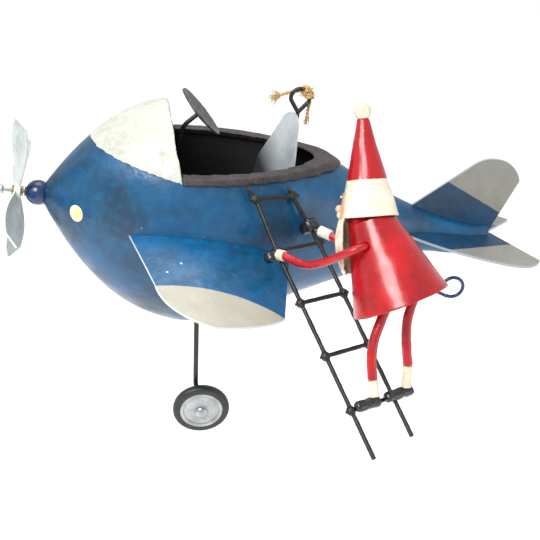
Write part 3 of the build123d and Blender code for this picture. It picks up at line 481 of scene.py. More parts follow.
def islands(mesh: Mesh) -> list[np.ndarray]:
    """Return the points of each separate shape in a mesh.

    Args:
        mesh: a mesh whose shapes don't touch.

    Returns:
        One array of points for each shape, from the lowest first point on.
    """
    points = read_points(mesh)
    keys = {}
    places = np.round(points / (SAME_POINT_MM * MM)).astype(int)
    same = np.array([keys.setdefault(tuple(place), len(keys)) for place in places])
    parent = list(range(len(keys)))

    def root(i: int) -> int:
        """Follow the parents to the first one."""
        while parent[i] != i:
            parent[i] = parent[parent[i]]
            i = parent[i]
        return i

    for edge in mesh.edges:
        parent[root(same[edge.vertices[0]])] = root(same[edge.vertices[1]])
    roots = np.array([root(i) for i in same])
    return [points[roots == r] for r in sorted(set(roots))]


def long_axis(points: np.ndarray) -> tuple[Vector, Vector]:
    """Return the two ends of a long shape, on its own axis.

    Args:
        points: the shape's points.

    Returns:
        The two ends.
    """
    centre = points.mean(0)
    direction = np.linalg.svd(points - centre, full_matrices=False)[2][0]
    along = (points - centre) @ direction
    return Vector(centre + direction * along.min()), Vector(centre + direction * along.max())


def frames_along(points: np.ndarray) -> tuple[np.ndarray, np.ndarray]:
    """Return two cross directions at each point of a line, without twist.

    Args:
        points: the line's points.

    Returns:
        Two arrays of unit vectors.
    """
    tangents = np.gradient(points, axis=0)
    tangents /= np.maximum(np.linalg.norm(tangents, axis=1), 1e-12)[:, None]
    start = np.cross(tangents[0], (0.3, 0.9, 0.2))
    side = start / np.linalg.norm(start)
    sides = []
    for tangent in tangents:
        side = side - tangent * (side @ tangent)
        side /= np.linalg.norm(side)
        sides.append(side)
    sides = np.array(sides)
    return sides, np.cross(tangents, sides)


@dataclass
class Tubes:
    """A gatherer of round tubes that end in one mesh."""

    points: list = field(default_factory=list)
    faces: list = field(default_factory=list)

    def add(self, line: np.ndarray, radii: np.ndarray | float, sides: int = 8) -> None:
        """Add one tube, closed at both ends.

        Args:
            line: the tube's centre points.
            radii: its radius, one for all or one for each point.
            sides: how many sides it has.
        """
        line = np.asarray(line, float)
        radii = np.broadcast_to(np.asarray(radii, float), (len(line),))
        u, v = frames_along(line)
        first, count = len(self.points), len(line)
        for centre, radius, x_dir, y_dir in zip(line, radii, u, v):
            for k in range(sides):
                turn = 2 * math.pi * k / sides
                self.points.append(centre + radius * (math.cos(turn) * x_dir + math.sin(turn) * y_dir))
        for i in range(count - 1):
            for k in range(sides):
                a, b = first + i * sides + k, first + i * sides + (k + 1) % sides
                self.faces.append((a, b, b + sides, a + sides))
        self.faces.append(tuple(first + k for k in reversed(range(sides))))
        self.faces.append(tuple(first + (count - 1) * sides + k for k in range(sides)))

    def mesh(self) -> Mesh:
        """Return all the tubes as one mesh."""
        made = bpy.data.meshes.new("tubes")
        made.from_pydata([tuple(p) for p in self.points], [], self.faces)
        made.update()
        return made


def ball(centre: Vector, radii: tuple[float, float, float], turn: Matrix | None = None) -> Mesh:
    """Return a squashed ball, to be recast with its neighbours.

    Args:
        centre: its middle, in metres.
        radii: its three radii, in metres.
        turn: how its axes are turned.

    Returns:
        The new mesh.
    """
    shape = bmesh.new()
    bmesh.ops.create_icosphere(shape, subdivisions=3, radius=1.0)
    turn = (turn or Matrix.Identity(3)).to_4x4()
    bmesh.ops.transform(shape, matrix=Matrix.Translation(centre) @ turn @ Matrix.Diagonal((*radii, 1.0)),
                        verts=shape.verts)
    made = bpy.data.meshes.new("ball")
    shape.to_mesh(made)
    shape.free()
    return made


def place_piece(name: str, mesh: Mesh, finish: Finish,
                nodes: tuple = ()) -> bpy.types.Object:
    """Put a new piece into the scene, on the airframe.

    Args:
        name: the piece's name.
        mesh: its mesh, in the row frame.
        finish: its finish.
        nodes: the nodes that it stands for.

    Returns:
        The new object.
    """
    mesh.name = name
    piece = bpy.data.objects.new(name, mesh)
    bpy.context.scene.collection.objects.link(piece)
    mesh.polygons.foreach_set("use_smooth", [True] * len(mesh.polygons))
    mesh.materials.append(material_of(finish))
    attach(piece, AIRFRAME)
    if nodes:
        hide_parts(*nodes)
    LOG.info("made %s with %d faces", name, len(mesh.polygons))
    return piece


MATERIALS: dict[str, bpy.types.Material] = {}


def material_of(finish: Finish) -> bpy.types.Material:
    """Return the finish's material, made once."""
    if finish.name not in MATERIALS:
        MATERIALS[finish.name] = finish.build()
    return MATERIALS[finish.name]


def dress(finish: Finish, *nodes: str) -> None:
    """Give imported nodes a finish.

    Args:
        finish: the finish.
        nodes: the nodes that it goes on.
    """
    for name in nodes:
        for slot in NODES[name].material_slots:
            slot.material = material_of(finish)
        LOG.info("dressed %s in %s", name, finish.name)


def middle(node: str) -> Vector:
    """Return the middle of a node's box."""
    low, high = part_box(node)
    return (low + high) / 2


# -------------------- finishes
# Brushed gloss enamel on tinplate: deep blue with cloudy coats and an orange-peel skin.
BLUE = Finish("blue_enamel_on_tinplate", "#004d78", "#113650", "#0c6c92", (0.2, 0.4), patch_mm=16,
    tint_share=0.3, grain_mm=1.1, grain_depth_mm=0.05, dent_mm=5, dent_depth_mm=0.16, chips_mm=0.35)
# The same enamel on the wings, with a cream-grey coat over their tips and a cut edge lightened as bare paint
# and as a painted highlight.
WING_BLUE = Finish("blue_enamel_wing_with_cream_tip", "#005586", "#0b4466", "#0f76a4", (0.2, 0.4),
    patch_mm=14, tint_share=0.35, grain_mm=1.2, grain_depth_mm=0.05, dent_mm=7, dent_depth_mm=0.2,
    chips_mm=0.45, border=Border((-0.0811, 0.9967, 0.0), 0.05125, both_sides=True), second_colour="#b2ae9e",
    second_shade="#9b988a", edge_axis=(0, 0, 1))
# The same enamel on the fin, with a mid-grey coat above a slanting border.
FIN_BLUE = Finish("blue_enamel_fin_with_grey_top", "#0a3c5e", "#17324a", "#184f6c", (0.3, 0.5), patch_mm=12,
    grain_mm=1.1, grain_depth_mm=0.05, dent_mm=6, dent_depth_mm=0.16,
    border=Border((0.407, 0.0, 0.9134), 0.00142), second_colour="#8a8a82", second_shade="#74746e",
    edge_axis=(0, 1, 0), edge_wear_and_highlight_colour="#9aa4ac")
# The same enamel on the tailplane, grey outboard of a slanting border.
STAB_BLUE = Finish("blue_enamel_tailplane_with_grey_tip", "#0a3c5e", "#17324a", "#184f6c", (0.3, 0.5),
    patch_mm=12, grain_mm=1.1, grain_depth_mm=0.05, dent_mm=6, dent_depth_mm=0.16,
    border=Border((0.297, 0.9549, 0.0), 0.03051, both_sides=True), second_colour="#8a8a82",
    second_shade="#74746e", edge_axis=(0, 0, 1), edge_wear_and_highlight_colour="#9aa4ac")
# Hammered tinplate under thick cream paint: soft facets that catch the light one by one.
COWL_CREAM = Finish("cream_enamel_on_hammered_tinplate", "#bec0b5", "#aaac9f", "#cccec3", (0.26, 0.46),
    patch_mm=9, tint_share=0.6, grain=Grain.HAMMERED, grain_mm=2.0, grain_depth_mm=0.1, dent_mm=4.5,
    dent_depth_mm=0.4, coat=0.25)
# Satin dark brown paint on a rolled tin band, scuffed to grey where hands and the net rub it.
COAMING_BROWN = Finish("dark_brown_satin_paint", "#332b2d", "#231e20", "#544b49", (0.45, 0.65), patch_mm=5,
    tint_share=0.5, grain_mm=0.7, grain_depth_mm=0.04, dent_mm=3, dent_depth_mm=0.12)
# Matt black lining with short matted fibres that swallow the light.
LINING_BLACK = Finish("black_flocked_lining", "#0e0d12", "#060608", "#1b181f", (0.85, 0.98), patch_mm=4,
    tint_share=0.5, grain=Grain.FLOCKED, grain_mm=0.8, grain_depth_mm=0.12, sheen=0.1)
# Light grey satin paint on bent sheet, darkening to near black low towards the nose: painted shade of the
# dark cockpit, with some black overspray.
SEAT_GREY = Finish("light_grey_paint_with_painted_cockpit_shade", "#b3b9bc", "#8f969a", "#c8ccce", (0.35, 0.5), patch_mm=18,
    grain_mm=1.0, grain_depth_mm=0.025, dent_mm=9, dent_depth_mm=0.12, coat=0.1,
    border=Border((-0.3, 0.55, -0.78), 0.0205, blur_mm=6.0), second_colour="#26272a",
    second_shade="#38393c")
# Light grey satin paint on thin spun blades, lightened at the cut edges as worn paint and as a painted
# highlight.
BLADE_GREY = Finish("pale_grey_paint_on_thin_sheet", "#b0b8b6", "#8f9a9a", "#cfd4d2", (0.3, 0.48),
    patch_mm=8, grain_mm=0.9, grain_depth_mm=0.02, dent_mm=5, dent_depth_mm=0.12, coat=0.1,
    edge_axis=(1, 0, 0), edge_wear_and_highlight_colour="#dfe3e2")
# Dark grey satin paint, with lighter grey patches at random as a painted glint.
WHEEL_GREY = Finish("dark_grey_satin_paint", "#3c3e40", "#25272a", "#66696b", (0.35, 0.55), patch_mm=4,
    tint_share=0.5, grain_mm=0.7, grain_depth_mm=0.02, dent_mm=2.5, dent_depth_mm=0.06)
# Black gloss paint on drawn wire, a little uneven.
WIRE_BLACK = Finish("black_gloss_paint_on_wire", "#121214", "#08080a", "#2c2c30", (0.25, 0.42), patch_mm=3,
    grain_mm=0.6, grain_depth_mm=0.02, dent_mm=2, dent_depth_mm=0.06, chips_mm=0.2, chip_colour="#6a6a6a")
# Dark blue gloss on the turned bead and the tail wire.
NAVY = Finish("navy_gloss_enamel", "#16305f", "#101f45", "#2c4c86", (0.16, 0.3), patch_mm=3, grain_mm=0.7,
    grain_depth_mm=0.015, dent_mm=2.5, dent_depth_mm=0.05, coat=0.3)
# Bare drawn steel with fine marks along its length.
STEEL = Finish("drawn_steel", "#b9bbbc", "#8f9193", "#d4d5d6", (0.25, 0.45), patch_mm=3, metallic=1.0,
    grain=Grain.STREAKED, grain_mm=0.25, grain_depth_mm=0.01, dent_mm=2, dent_depth_mm=0.02)
# Brass tube gone dull and olive.
BRASS = Finish("dull_brass_tube", "#9c8b52", "#6f6640", "#b8a66a", (0.3, 0.5), patch_mm=2, metallic=1.0,
    grain=Grain.STREAKED, grain_mm=0.25, grain_depth_mm=0.01, dent_mm=2, dent_depth_mm=0.03)
# Black rubber with a soft sheen and a bloom of dust.
RUBBER = Finish("black_rubber", "#1d1f21", "#111214", "#3d4042", (0.32, 0.5), patch_mm=4, tint_share=0.4,
    grain_mm=0.5, grain_depth_mm=0.015, dent_mm=3, dent_depth_mm=0.05)
# Light grey paint on the wheel's pressed disc.
DISC_GREY = Finish("light_grey_paint_on_disc", "#a8abab", "#8b8f90", "#c4c7c7", (0.3, 0.45), patch_mm=5,
    grain_mm=0.8, grain_depth_mm=0.025, dent_mm=3, dent_depth_mm=0.08, coat=0.15)
# Extruded black polyethylene net with a waxy sheen.
NET_BLACK = Finish("black_extruded_net", "#161514", "#0c0b0b", "#332c2a", (0.38, 0.55), patch_mm=6,
    tint_share=0.35, grain_mm=0.5, grain_depth_mm=0.01, dent_mm=2, dent_depth_mm=0.03)
# Thick red gloss enamel that has flowed into soft runs.
RED = Finish("red_gloss_enamel", "#b0020e", "#8c000a", "#c20f19", (0.2, 0.34), patch_mm=9, tint_share=0.3,
    grain_mm=1.0, grain_depth_mm=0.012, dent_mm=4, dent_depth_mm=0.05, coat=0.25, chips_mm=0.16,
    chip_colour="#f0b8b4")
# Thick cream gloss enamel with yellowed hollows.
CREAM = Finish("cream_gloss_enamel", "#e0dac8", "#cdc1a4", "#ebe7d9", (0.22, 0.36), patch_mm=5,
    tint_share=0.5, grain_mm=0.9, grain_depth_mm=0.015, dent_mm=2.5, dent_depth_mm=0.07, coat=0.35)
# Cream gloss enamel on the beard, with brown patches at random as painted shade.
BEARD_CREAM = Finish("cream_enamel_with_painted_brown_shade", "#e4dcc8", "#b49878", "#f2ecdf", (0.25, 0.42),
    patch_mm=3.5, tint_share=0.5, grain_mm=0.7, grain_depth_mm=0.02, dent_mm=1.6, dent_depth_mm=0.08,
    coat=0.2)
# Satin skin-coloured enamel.
SKIN = Finish("skin_coloured_satin_enamel", "#dfae8b", "#cf9474", "#ebc3a5", (0.3, 0.42), patch_mm=3,
    grain_mm=0.8, grain_depth_mm=0.01, dent_mm=2, dent_depth_mm=0.03, coat=0.2)
# Black gloss enamel, thick and rounded.
GLOVE_BLACK = Finish("black_gloss_enamel", "#18161a", "#0a090b", "#39343a", (0.18, 0.34), patch_mm=2.5,
    grain_mm=0.6, grain_depth_mm=0.02, dent_mm=1.6, dent_depth_mm=0.07, coat=0.3)
# Cream gloss on the two lamps, yellowed in the middle where the paint lies thickest.
LAMP_CREAM = Finish("cream_gloss_lamp_paint", "#efe8b6", "#dcd29a", "#f8f4d4", (0.15, 0.25), patch_mm=2,
    dent_mm=2, dent_depth_mm=0.04, coat=0.4, centre_radius_mm=1.7)
# Red gloss enamel on the hat, over a cream band that was brushed round its foot.
HAT_RED = Finish("red_hat_enamel_with_cream_band", "#ded8c4", "#cfc5aa", "#e9e5d6", (0.2, 0.34), patch_mm=6,
    tint_share=0.5, grain_mm=1.0, grain_depth_mm=0.012, dent_mm=4, dent_depth_mm=0.08, coat=0.25,
    second_colour="#b0020e", second_shade="#90000b")
# Jute twine: dry matt fibres, straw to brown.
JUTE = Finish("jute_twine", "#cfa765", "#a1783f", "#e6cd98", (0.8, 0.95), patch_mm=1.4, tint_share=0.7,
    grain=Grain.STREAKED, grain_mm=0.18, grain_depth_mm=0.03, dent_mm=0.6, dent_depth_mm=0.04, sheen=0.25)


# -------------------- the studio
# Each light: its name, its place from the toy's middle and its side in metres, and its watts.
LIGHTS = (("key_softbox", (-0.6, -0.7, 0.8), 0.5, 11.0), ("top_softbox", (-0.1, 0.25, 0.9), 0.6, 3.5),
          ("nose_glint", (-0.9, -0.3, 0.75), 0.18, 3.0), ("side_fill", (0.9, -0.5, 0.15), 0.6, 1.5))


@dataclass
class Studio:
    """The camera, the lights and the plain pale floor."""

    azimuth: float = -12.0
    elevation: float = 25.0
    roll: float = 10.0
    distance_m: float = 0.380
    aim_m: tuple[float, float, float] = (0.0, 0.0, -0.060)
    lens_mm: float = 76.0
    floor_drop_m: float = 0.30

    def set_camera(self) -> None:
        """Place the camera and make it the scene's own."""
        turn, rise = math.radians(self.azimuth), math.radians(self.elevation)
        back = Vector((math.sin(turn) * math.cos(rise), -math.cos(turn) * math.cos(rise), math.sin(rise)))
        level = Vector((0, 0, 1)).cross(back).normalized()
        upright = back.cross(level)
        tip = math.radians(self.roll)
        right = level * math.cos(tip) + upright * math.sin(tip)
        up = upright * math.cos(tip) - level * math.sin(tip)
        data = bpy.data.cameras.new("camera")
        data.lens, data.sensor_width = self.lens_mm, 36.0
        data.clip_start, data.clip_end = 0.01, 20.0
        camera = bpy.data.objects.new("camera", data)
        bpy.context.scene.collection.objects.link(camera)
        camera.matrix_world = Matrix.Translation(Vector(self.aim_m) + back * self.distance_m) @ Matrix(
            (right, up, back)).transposed().to_4x4()
        bpy.context.scene.camera = camera

    def add_light(self, name: str, place: tuple[float, float, float], size_m: float, watts: float) -> None:
        """Add one soft square light that looks at the toy.

        Args:
            name: the light's name.
            place: where it stands, from the toy's middle, in metres.
            size_m: the length of its side.
            watts: its power.
        """
        data = bpy.data.lights.new(name, "AREA")
        data.energy, data.size = watts, size_m
        light = bpy.data.objects.new(name, data)
        bpy.context.scene.collection.objects.link(light)
        aim = Vector(self.aim_m)
        light.location = aim + Vector(place)
        light.rotation_euler = (light.location - aim).to_track_quat("Z", "Y").to_euler()

    def build(self) -> None:
        """Set up the camera, the floor and the lights."""
        self.set_camera()
        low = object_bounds()[0].z - self.floor_drop_m
        bpy.ops.mesh.primitive_plane_add(size=12.0, location=(0, 0, low))
        floor = bpy.context.object
        floor.name = "studio_floor"
        # Matt white paper that glows a little, so the toy stands before a plain pale ground.
        paper = bpy.data.materials.new("pale_paper")
        paper.use_nodes = True
        look = paper.node_tree.nodes["Principled BSDF"].inputs
        look["Base Color"].default_value = linear("#f6f6f5")
        look["Roughness"].default_value = 0.9
        look["Emission Color"].default_value = linear("#ffffff")
        look["Emission Strength"].default_value = 0.25
        floor.data.materials.append(paper)
        floor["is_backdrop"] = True
        world = bpy.data.worlds.new("pale_room")
        world.use_nodes = True
        glow = world.node_tree.nodes["Background"].inputs
        glow["Color"].default_value = (1, 1, 1, 1)
        glow["Strength"].default_value = 0.8
        bpy.context.scene.world = world
        bpy.context.scene.view_settings.view_transform = "Standard"
        for light in LIGHTS:
            self.add_light(*light)
        LOG.info("studio ready")


# -------------------- the twine
@dataclass
class Twine:
    """The knotted piece of jute twine on the eye. Its points are those of its packed route, in mm."""

    thickness_mm: float = 1.1
    eye_radius_mm: float = 2.95
    turn_radius_mm: float = 1.2
    start_degrees: float = 5.0
    sweep_degrees: float = 75.0
    turns: float = 3.5
    points_per_turn: int = 12
    strand_twist_mm: float = 2.4
    strand_offset: float = 0.26
    strand_radius: float = 0.27
    step_mm: float = 0.16
    short_end: tuple = ((3.0, 0.9, 1.2), (3.5, 1.2, -1.2), (3.2, 1.0, -3.8), (3.4, 1.2, -6.4))
    long_end: tuple = ((1.4, 1.2, 2.6), (-0.9, 1.9, 1.5), (-3.6, 1.7, 0.9), (-6.6, 1.1, -0.3))

    def wound_points(self) -> list[tuple[float, float, float]]:
        """Return the turns round the eye's wire, in mm."""
        count = int(self.turns * self.points_per_turn)
        made = []
        for i in range(count + 1):
            share = i / count
            along = math.radians(self.start_degrees + self.sweep_degrees * share)
            out = Vector((math.cos(along), 0, math.sin(along)))
            spin = 2 * math.pi * self.turns * share
            reach = out * (self.eye_radius_mm + self.turn_radius_mm * math.cos(spin))
            made.append(tuple(reach + Vector((0, self.turn_radius_mm * math.sin(spin), 0))))
        return made

    def centre_line(self) -> np.ndarray:
        """Return points down the middle of the whole twine, in metres."""
        route = list(reversed(self.short_end)) + self.wound_points() + list(self.long_end)
        curve = bpy.data.curves.new("twine_route", "CURVE")
        curve.dimensions = "3D"
        curve.resolution_u = 8
        spline = curve.splines.new("NURBS")
        spline.points.add(len(route) - 1)
        for point, place in zip(spline.points, route):
            point.co = (place[0] * MM, place[1] * MM, place[2] * MM, 1.0)
        spline.order_u = 3
        spline.use_endpoint_u = True
        carrier = bpy.data.objects.new("twine_route", curve)
        mesh = bpy.data.meshes.new_from_object(carrier)
        line = read_points(mesh)
        bpy.data.objects.remove(carrier)
        return line

    def build(self) -> None:
        """Lay two twisted strands along the route and fray both ends and the knot."""
        line = self.centre_line()
        steps = np.linalg.norm(np.diff(line, axis=0), axis=1)
        along = np.concatenate([[0], np.cumsum(steps)])
        even = np.arange(0, along[-1], self.step_mm * MM)
        line = np.stack([np.interp(even, along, line[:, k]) for k in range(3)], axis=1)
        u, v = frames_along(line)
        strands = Tubes()
        offset, radius = (part * self.thickness_mm * MM for part in (self.strand_offset, self.strand_radius))
        for strand in range(2):
            spin = 2 * math.pi * (even / (self.strand_twist_mm * MM) + strand / 2)
            wander = 1 + 0.12 * np.sin(even / (0.7 * MM) + 2 * strand)
            path = line + offset * (np.cos(spin)[:, None] * u + np.sin(spin)[:, None] * v)
            strands.add(path, radius * wander, 7)
        twine = place_piece("twine_strands", strands.mesh(), JUTE, ("twine_knot", "twine_tails"))
        fray = place_piece("twine_fray", self.fray(line), JUTE)

    def fray(self, line: np.ndarray) -> Mesh:
        """Return the loose fibres at both ends and on the knot.

        Args:
            line: the twine's centre line.

        Returns:
            One mesh of thin fibres.
        """
        dice = np.random.default_rng(7)
        fibres = Tubes()
        middle_of_knot = line[len(line) // 2]
        spots = [(line[-1], line[-1] - line[-8], 70, 3.4, 0.55), (line[0], line[0] - line[8], 36, 2.6, 0.4),
                 (middle_of_knot, np.array((0.1, -0.3, 1.0)), 50, 2.3, 1.1),
                 (line[int(0.62 * len(line))], np.array((-0.4, -0.6, 0.8)), 40, 2.1, 1.0)]
        for origin, way, count, length, spread in spots:
            way = way / np.linalg.norm(way)
            for _ in range(count):
                lean = way + spread * dice.normal(size=3)
                lean /= np.linalg.norm(lean)
                bend = 0.5 * dice.normal(size=3)
                reach = length * MM * dice.uniform(0.5, 1.1)
                share = np.linspace(0, 1, 6)[:, None]
                start = origin + 0.35 * MM * dice.normal(size=3)
                path = start + reach * (share * lean + 0.4 * share ** 2 * bend)
                fibres.add(path, np.linspace(0.1, 0.05, 6) * MM, 4)
        return fibres.mesh()


# -------------------- the aeroplane
@dataclass
class Fuselage:
    """The blue skin, the hammered cowl and the cockpit's fittings."""

    cowl_voxel_mm: float = 0.33
    band_voxel_mm: float = 0.42
    disc_voxel_mm: float = 0.22

    def build(self) -> None:
        """Dress the skin and recast the worked pieces."""
        dress(BLUE, "fuselage_shell")
        dress(LINING_BLACK, "cockpit_tub")
        dress(SEAT_GREY, "pilot_seat")
        dress(WIRE_BLACK, "hanging_wire", "steering_column")
        self.hammer_cowl()
        self.pad_coaming()
        self.soften_steering_wheel()

    def hammer_cowl(self) -> None:
        """Make the cowl with hammered facets in its shape."""
        mesh = recast(join_meshes(["windscreen_cowl"]), self.cowl_voxel_mm, 3)
        raise_lumps(mesh, Lumps(6.0, 0.3, 1.0), Lumps(2.8, 0.22, 4.0), Lumps(1.5, 0.04, 9.0))
        place_piece("cowl_hammered", mesh, COWL_CREAM, ("windscreen_cowl",))

    def pad_coaming(self) -> None:
        """Make the band round the cockpit with rounded edges and small dents."""
        mesh = recast(join_meshes(["cockpit_coaming"]), self.band_voxel_mm, 6)
        raise_lumps(mesh, Lumps(7.0, 0.14, 2.0), Lumps(2.4, 0.03, 5.0))
        place_piece("coaming_band", mesh, COAMING_BROWN, ("cockpit_coaming",))

    def soften_steering_wheel(self) -> None:
        """Make the steering disc with a soft rim."""
        mesh = recast(join_meshes(["steering_wheel"]), self.disc_voxel_mm, 2)
        raise_lumps(mesh, Lumps(3.0, 0.08, 3.0))
        place_piece("steering_disc", mesh, WHEEL_GREY, ("steering_wheel",))


@dataclass
class Nose:
    """The bead, the axle, the propeller and the two lamps."""

    def build(self) -> None:
        """Dress the turned pieces and the blades."""
        dress(NAVY, "nose_ball")
        dress(WHEEL_GREY, "spacer_washer")
        dress(STEEL, "nose_axle", "axle_stop_knob")
        dress(BRASS, "propeller_hub")
        dress(BLADE_GREY, "propeller_blades")
        lamp = middle("nose_lamps")
        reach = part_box("nose_lamps")[1].y
        dress(replace(LAMP_CREAM, centre_m=(lamp.x, reach, lamp.z)), "nose_lamps")


@dataclass
class FlyingSurfaces:
    """The wings, the fin, the tailplane and the tail ring."""

    def build(self) -> None:
        """Dress the sheets, each with its border."""
        dress(WING_BLUE, "wing_port", "wing_starboard")
        dress(FIN_BLUE, "tail_fin")
        dress(STAB_BLUE, "stabiliser_port", "stabiliser_starboard")
        dress(NAVY, "tail_ring")


@dataclass
class LandingGear:
    """The strut and its turning wheel."""

    def build(self) -> None:
        """Dress the strut, the tyre, the disc and the rivet head."""
        dress(WIRE_BLACK, "landing_strut")
        dress(RUBBER, "tyre")
        dress(DISC_GREY, "wheel_disc")
        dress(STEEL, "wheel_cap")


# -------------------- the ladder
@dataclass
class NetLadder:
    """A strip of extruded net: round strands, webbed corners and cut stubs."""

    web_mm: float = 3.4
    web_half_mm: float = 0.55
    knot_mm: float = 1.45
    stub_mm: float = 2.1
    strand_radius_mm: float = 0.62
    voxel_mm: float = 0.24
    end_gap_mm: float = 1.1

    def rung_ends(self) -> list[tuple[Vector, Vector]]:
        """Return the crossings at each rung's left and right ends, from the top down."""
        ends = []
        for points in islands(NODES["ladder_rungs"].data):
            a, b = long_axis(points)
            left, right = (a, b) if a.x < b.x else (b, a)
            gap = (right - left).normalized() * self.end_gap_mm * MM
            ends.append((left - gap, right + gap))
        return sorted(ends, key=lambda pair: -pair[0].z)

    def web(self, corner: Vector, along: Vector, down: Vector) -> Mesh:
        """Return the curved web that fills one corner of a mesh.

        Args:
            corner: the crossing.
            along: the way along the rung.
            down: the way along the rail.

        Returns:
            The new mesh.
        """
        size, half = self.web_mm * MM, self.web_half_mm * MM
        across = along.cross(down).normalized() * half
        outline = [corner]
        for i in range(7):
            turn = math.radians(90 * i / 6)
            outline.append(corner + along * size * (1 - math.sin(turn)) + down * size * (1 - math.cos(turn)))
        shape = bmesh.new()
        front = [shape.verts.new(p + across) for p in outline]
        back = [shape.verts.new(p - across) for p in outline]
        shape.faces.new(front)
        shape.faces.new(list(reversed(back)))
        for i in range(len(outline)):
            j = (i + 1) % len(outline)
            shape.faces.new((front[i], back[i], back[j], front[j]))
        bmesh.ops.recalc_face_normals(shape, faces=shape.faces)
        bmesh.ops.triangulate(shape, faces=shape.faces)
        made = bpy.data.meshes.new("web")
        shape.to_mesh(made)
        shape.free()
        return made

    def build(self) -> None:
        """Fuse the strands, the webs and the stubs into one net."""
        ends = self.rung_ends()
        extras, stubs = [], Tubes()
        for row, pair in enumerate(ends):
            for side in (0, 1):
                corner, other = pair[side], pair[1 - side]
                along = (other - corner).normalized()
                rails = [ends[near][side] - corner for near in (row - 1, row + 1) if 0 <= near < len(ends)]
                rails = [rail.normalized() for rail in rails]
                if len(rails) == 1 and row > 0:
                    rails.append(-rails[0])
                extras += [self.web(corner, along, rail) for rail in rails]
                extras.append(ball(corner, (self.knot_mm * MM,) * 3))
                share = np.linspace(0, 1, 5)[:, None]
                tip = np.array(corner) - share * self.stub_mm * MM * np.array(along)
                stubs.add(tip, np.linspace(1.0, 0.75, 5) * self.strand_radius_mm * MM, 10)
        nodes = ("ladder_rails", "ladder_rungs")
        mesh = recast(join_meshes(nodes, (*extras, stubs.mesh())), self.voxel_mm, 3)
        raise_lumps(mesh, Lumps(3.0, 0.1, 3.0), Lumps(1.1, 0.04, 6.0))
        place_piece("net_ladder", mesh, NET_BLACK, nodes)


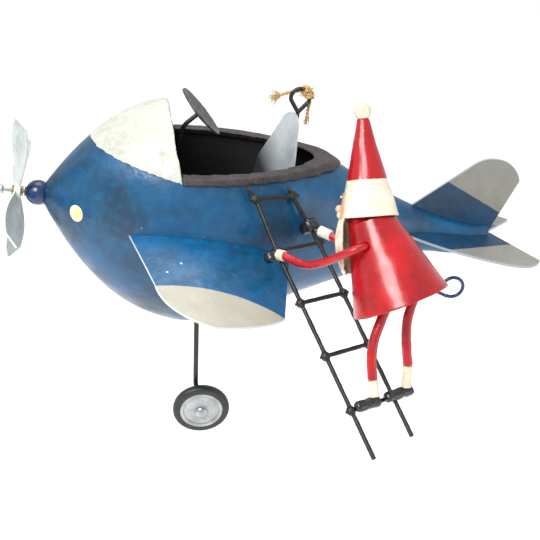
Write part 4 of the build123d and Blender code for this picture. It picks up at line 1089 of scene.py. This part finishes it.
# -------------------- the figure
@dataclass
class Figure:
    """The small hatted figure, brushed with thick gloss enamel."""

    cone_voxel_mm: float = 0.3
    limb_voxel_mm: float = 0.24
    beard_locks: int = 24
    lock_sway: float = 2.2
    sway_mm: float = 2.6
    lock_mm: float = 0.26
    brow_half_mm: float = 0.78

    def head_axis(self) -> tuple[Vector, Vector]:
        """Return a point on the head's axis and the way up it."""
        neck, top = Vector(read_points(NODES["hat_band"].data).mean(0)), middle("hat_pompom")
        return neck, (top - neck).normalized()

    def ahead(self) -> Vector:
        """Return the way that the face looks, square to the head's axis."""
        neck, up = self.head_axis()
        way = middle("figure_nose") - neck
        return (way - up * way.dot(up)).normalized()

    def enamel(self, name: str, nodes: list[str], finish: Finish, voxel_mm: float,
               layers: tuple[Lumps, ...], extras: tuple = (), swell_mm: float = 0.0,
               passes: int = 3) -> None:
        """Recast some nodes as one thickly painted piece.

        Args:
            name: the piece's name.
            nodes: the nodes that it stands for.
            finish: its enamel.
            voxel_mm: the size of its faces.
            layers: the lumps in its paint.
            extras: more meshes to fuse in.
            swell_mm: how much thicker its paint makes it.
            passes: how soft its edges are.
        """
        mesh = recast(join_meshes(nodes, extras), voxel_mm, passes)
        raise_lumps(mesh, *layers, swell_mm=swell_mm)
        place_piece(name, mesh, finish, tuple(nodes))

    def shoulders(self) -> Mesh:
        """Return the domed top of the body, which closes it below the hat."""
        neck, up = self.head_axis()
        drop = float((read_points(NODES["hat_band"].data) @ np.array(up)).min()) - neck.dot(up)
        turn = up.to_track_quat("Z", "Y").to_matrix()
        return ball(neck + up * (drop - 0.9 * MM), (6.3 * MM, 6.3 * MM, 2.4 * MM), turn)

    def hat_finish(self) -> Finish:
        """Return the hat's red enamel, with its border at the top of the band."""
        up = self.head_axis()[1]
        top_of_band = float((read_points(NODES["hat_band"].data) @ np.array(up)).max())
        return replace(HAT_RED, border=Border(tuple(up), top_of_band, 0.3))

    def beard(self) -> None:
        """Make the beard with combed waves that follow the head."""
        mesh = recast(join_meshes(["figure_beard"]), self.limb_voxel_mm, 3)
        neck, up = self.head_axis()
        ahead = self.ahead()
        side = np.array(up.cross(ahead))
        points, normals = read_points(mesh), read_normals(mesh)
        local = points - np.array(neck)
        turn = np.arctan2(local @ side, local @ np.array(ahead))
        drop = local @ np.array(up)
        waves = np.sin(self.beard_locks * turn + self.lock_sway * np.sin(drop / (self.sway_mm * MM)))
        write_points(mesh, points + normals * (self.lock_mm * MM * waves)[:, None])
        place_piece("figure_beard_combed", mesh, BEARD_CREAM, ("figure_beard",))

    def face_hair(self) -> None:
        """Add the moustache and the brows."""
        neck, up = self.head_axis()
        ahead = self.ahead()
        side = up.cross(ahead)
        nose = middle("figure_nose")
        eyes = middle("figure_eyes")
        hair = Tubes()
        share = np.linspace(0, 1, 12)
        for hand in (-1, 1):
            root = nose - up * 1.2 * MM - ahead * 0.2 * MM
            path = [root + side * hand * 4.2 * s * MM - up * (1.2 * s + 0.9 * s * s) * MM
                    - ahead * 1.5 * s * s * MM for s in share]
            hair.add(np.array(path), (0.25 + 0.75 * np.sin(math.pi * share ** 0.7)) * MM * 0.85, 10)
            brow = eyes + side * hand * 1.9 * MM + up * 1.1 * MM - ahead * 0.1 * MM
            path = [brow + side * hand * self.brow_half_mm * (2 * s - 1) * MM
                    + up * 0.35 * math.sin(math.pi * s) * MM for s in share]
            hair.add(np.array(path), (0.12 + 0.2 * np.sin(math.pi * share)) * MM, 8)
        mesh = recast(hair.mesh(), 0.12, 2)
        raise_lumps(mesh, Lumps(0.8, 0.07, 2.0))
        place_piece("figure_moustache_and_brows", mesh, CREAM)

    def build(self) -> None:
        """Make every piece of the figure."""
        soft = (Lumps(8.0, 0.2, 1.0), Lumps(3.2, 0.03, 5.0))
        thin = (Lumps(2.6, 0.1, 2.0), Lumps(1.2, 0.04, 7.0))
        self.enamel("figure_body_enamel", ["figure_body"], RED, self.cone_voxel_mm, soft,
                    extras=(self.shoulders(),), passes=4)
        self.enamel("figure_hat", ["hat_band", "hat_cone"], self.hat_finish(),
                    self.cone_voxel_mm, soft, passes=4)
        mitten = (Lumps(2.0, 0.25, 1.0), Lumps(1.0, 0.08, 4.0))
        boot = (Lumps(2.4, 0.22, 3.0), Lumps(1.0, 0.06, 8.0))
        for node, finish, slot, layers, swell_mm, passes in (
                ("hat_pompom", CREAM, "cream_enamel", thin, 0.0, 3),
                ("figure_arms", RED, "red_enamel", thin, 0.0, 3),
                ("figure_legs", RED, "red_enamel", thin, 0.0, 3),
                ("figure_cuffs", CREAM, "cream_enamel", thin, 0.0, 5),
                ("figure_socks", CREAM, "cream_enamel", thin, -0.3, 5),
                ("figure_mittens", GLOVE_BLACK, "black_enamel", mitten, 0.2, 4),
                ("figure_boots", GLOVE_BLACK, "black_enamel", boot, 0.3, 4)):
            self.enamel(f"{node}_enamel", [node], finish, self.limb_voxel_mm, layers,
                        swell_mm=swell_mm, passes=passes)
        self.beard()
        self.face_hair()
        dress(RED, "figure_base_plate")
        dress(SKIN, "figure_face", "figure_nose")
        dress(GLOVE_BLACK, "figure_eyes")


def main() -> None:
    """Build the studio and every sub-assembly in order."""
    logging.basicConfig(level=logging.INFO, format="%(message)s")
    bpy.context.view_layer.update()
    Studio().build()
    for assembly in (Twine(), Fuselage(), Nose(), FlyingSurfaces(), LandingGear(), NetLadder(), Figure()):
        assembly.build()
        LOG.info("%s is done", type(assembly).__name__)


if __name__ == "__main__":
    main()
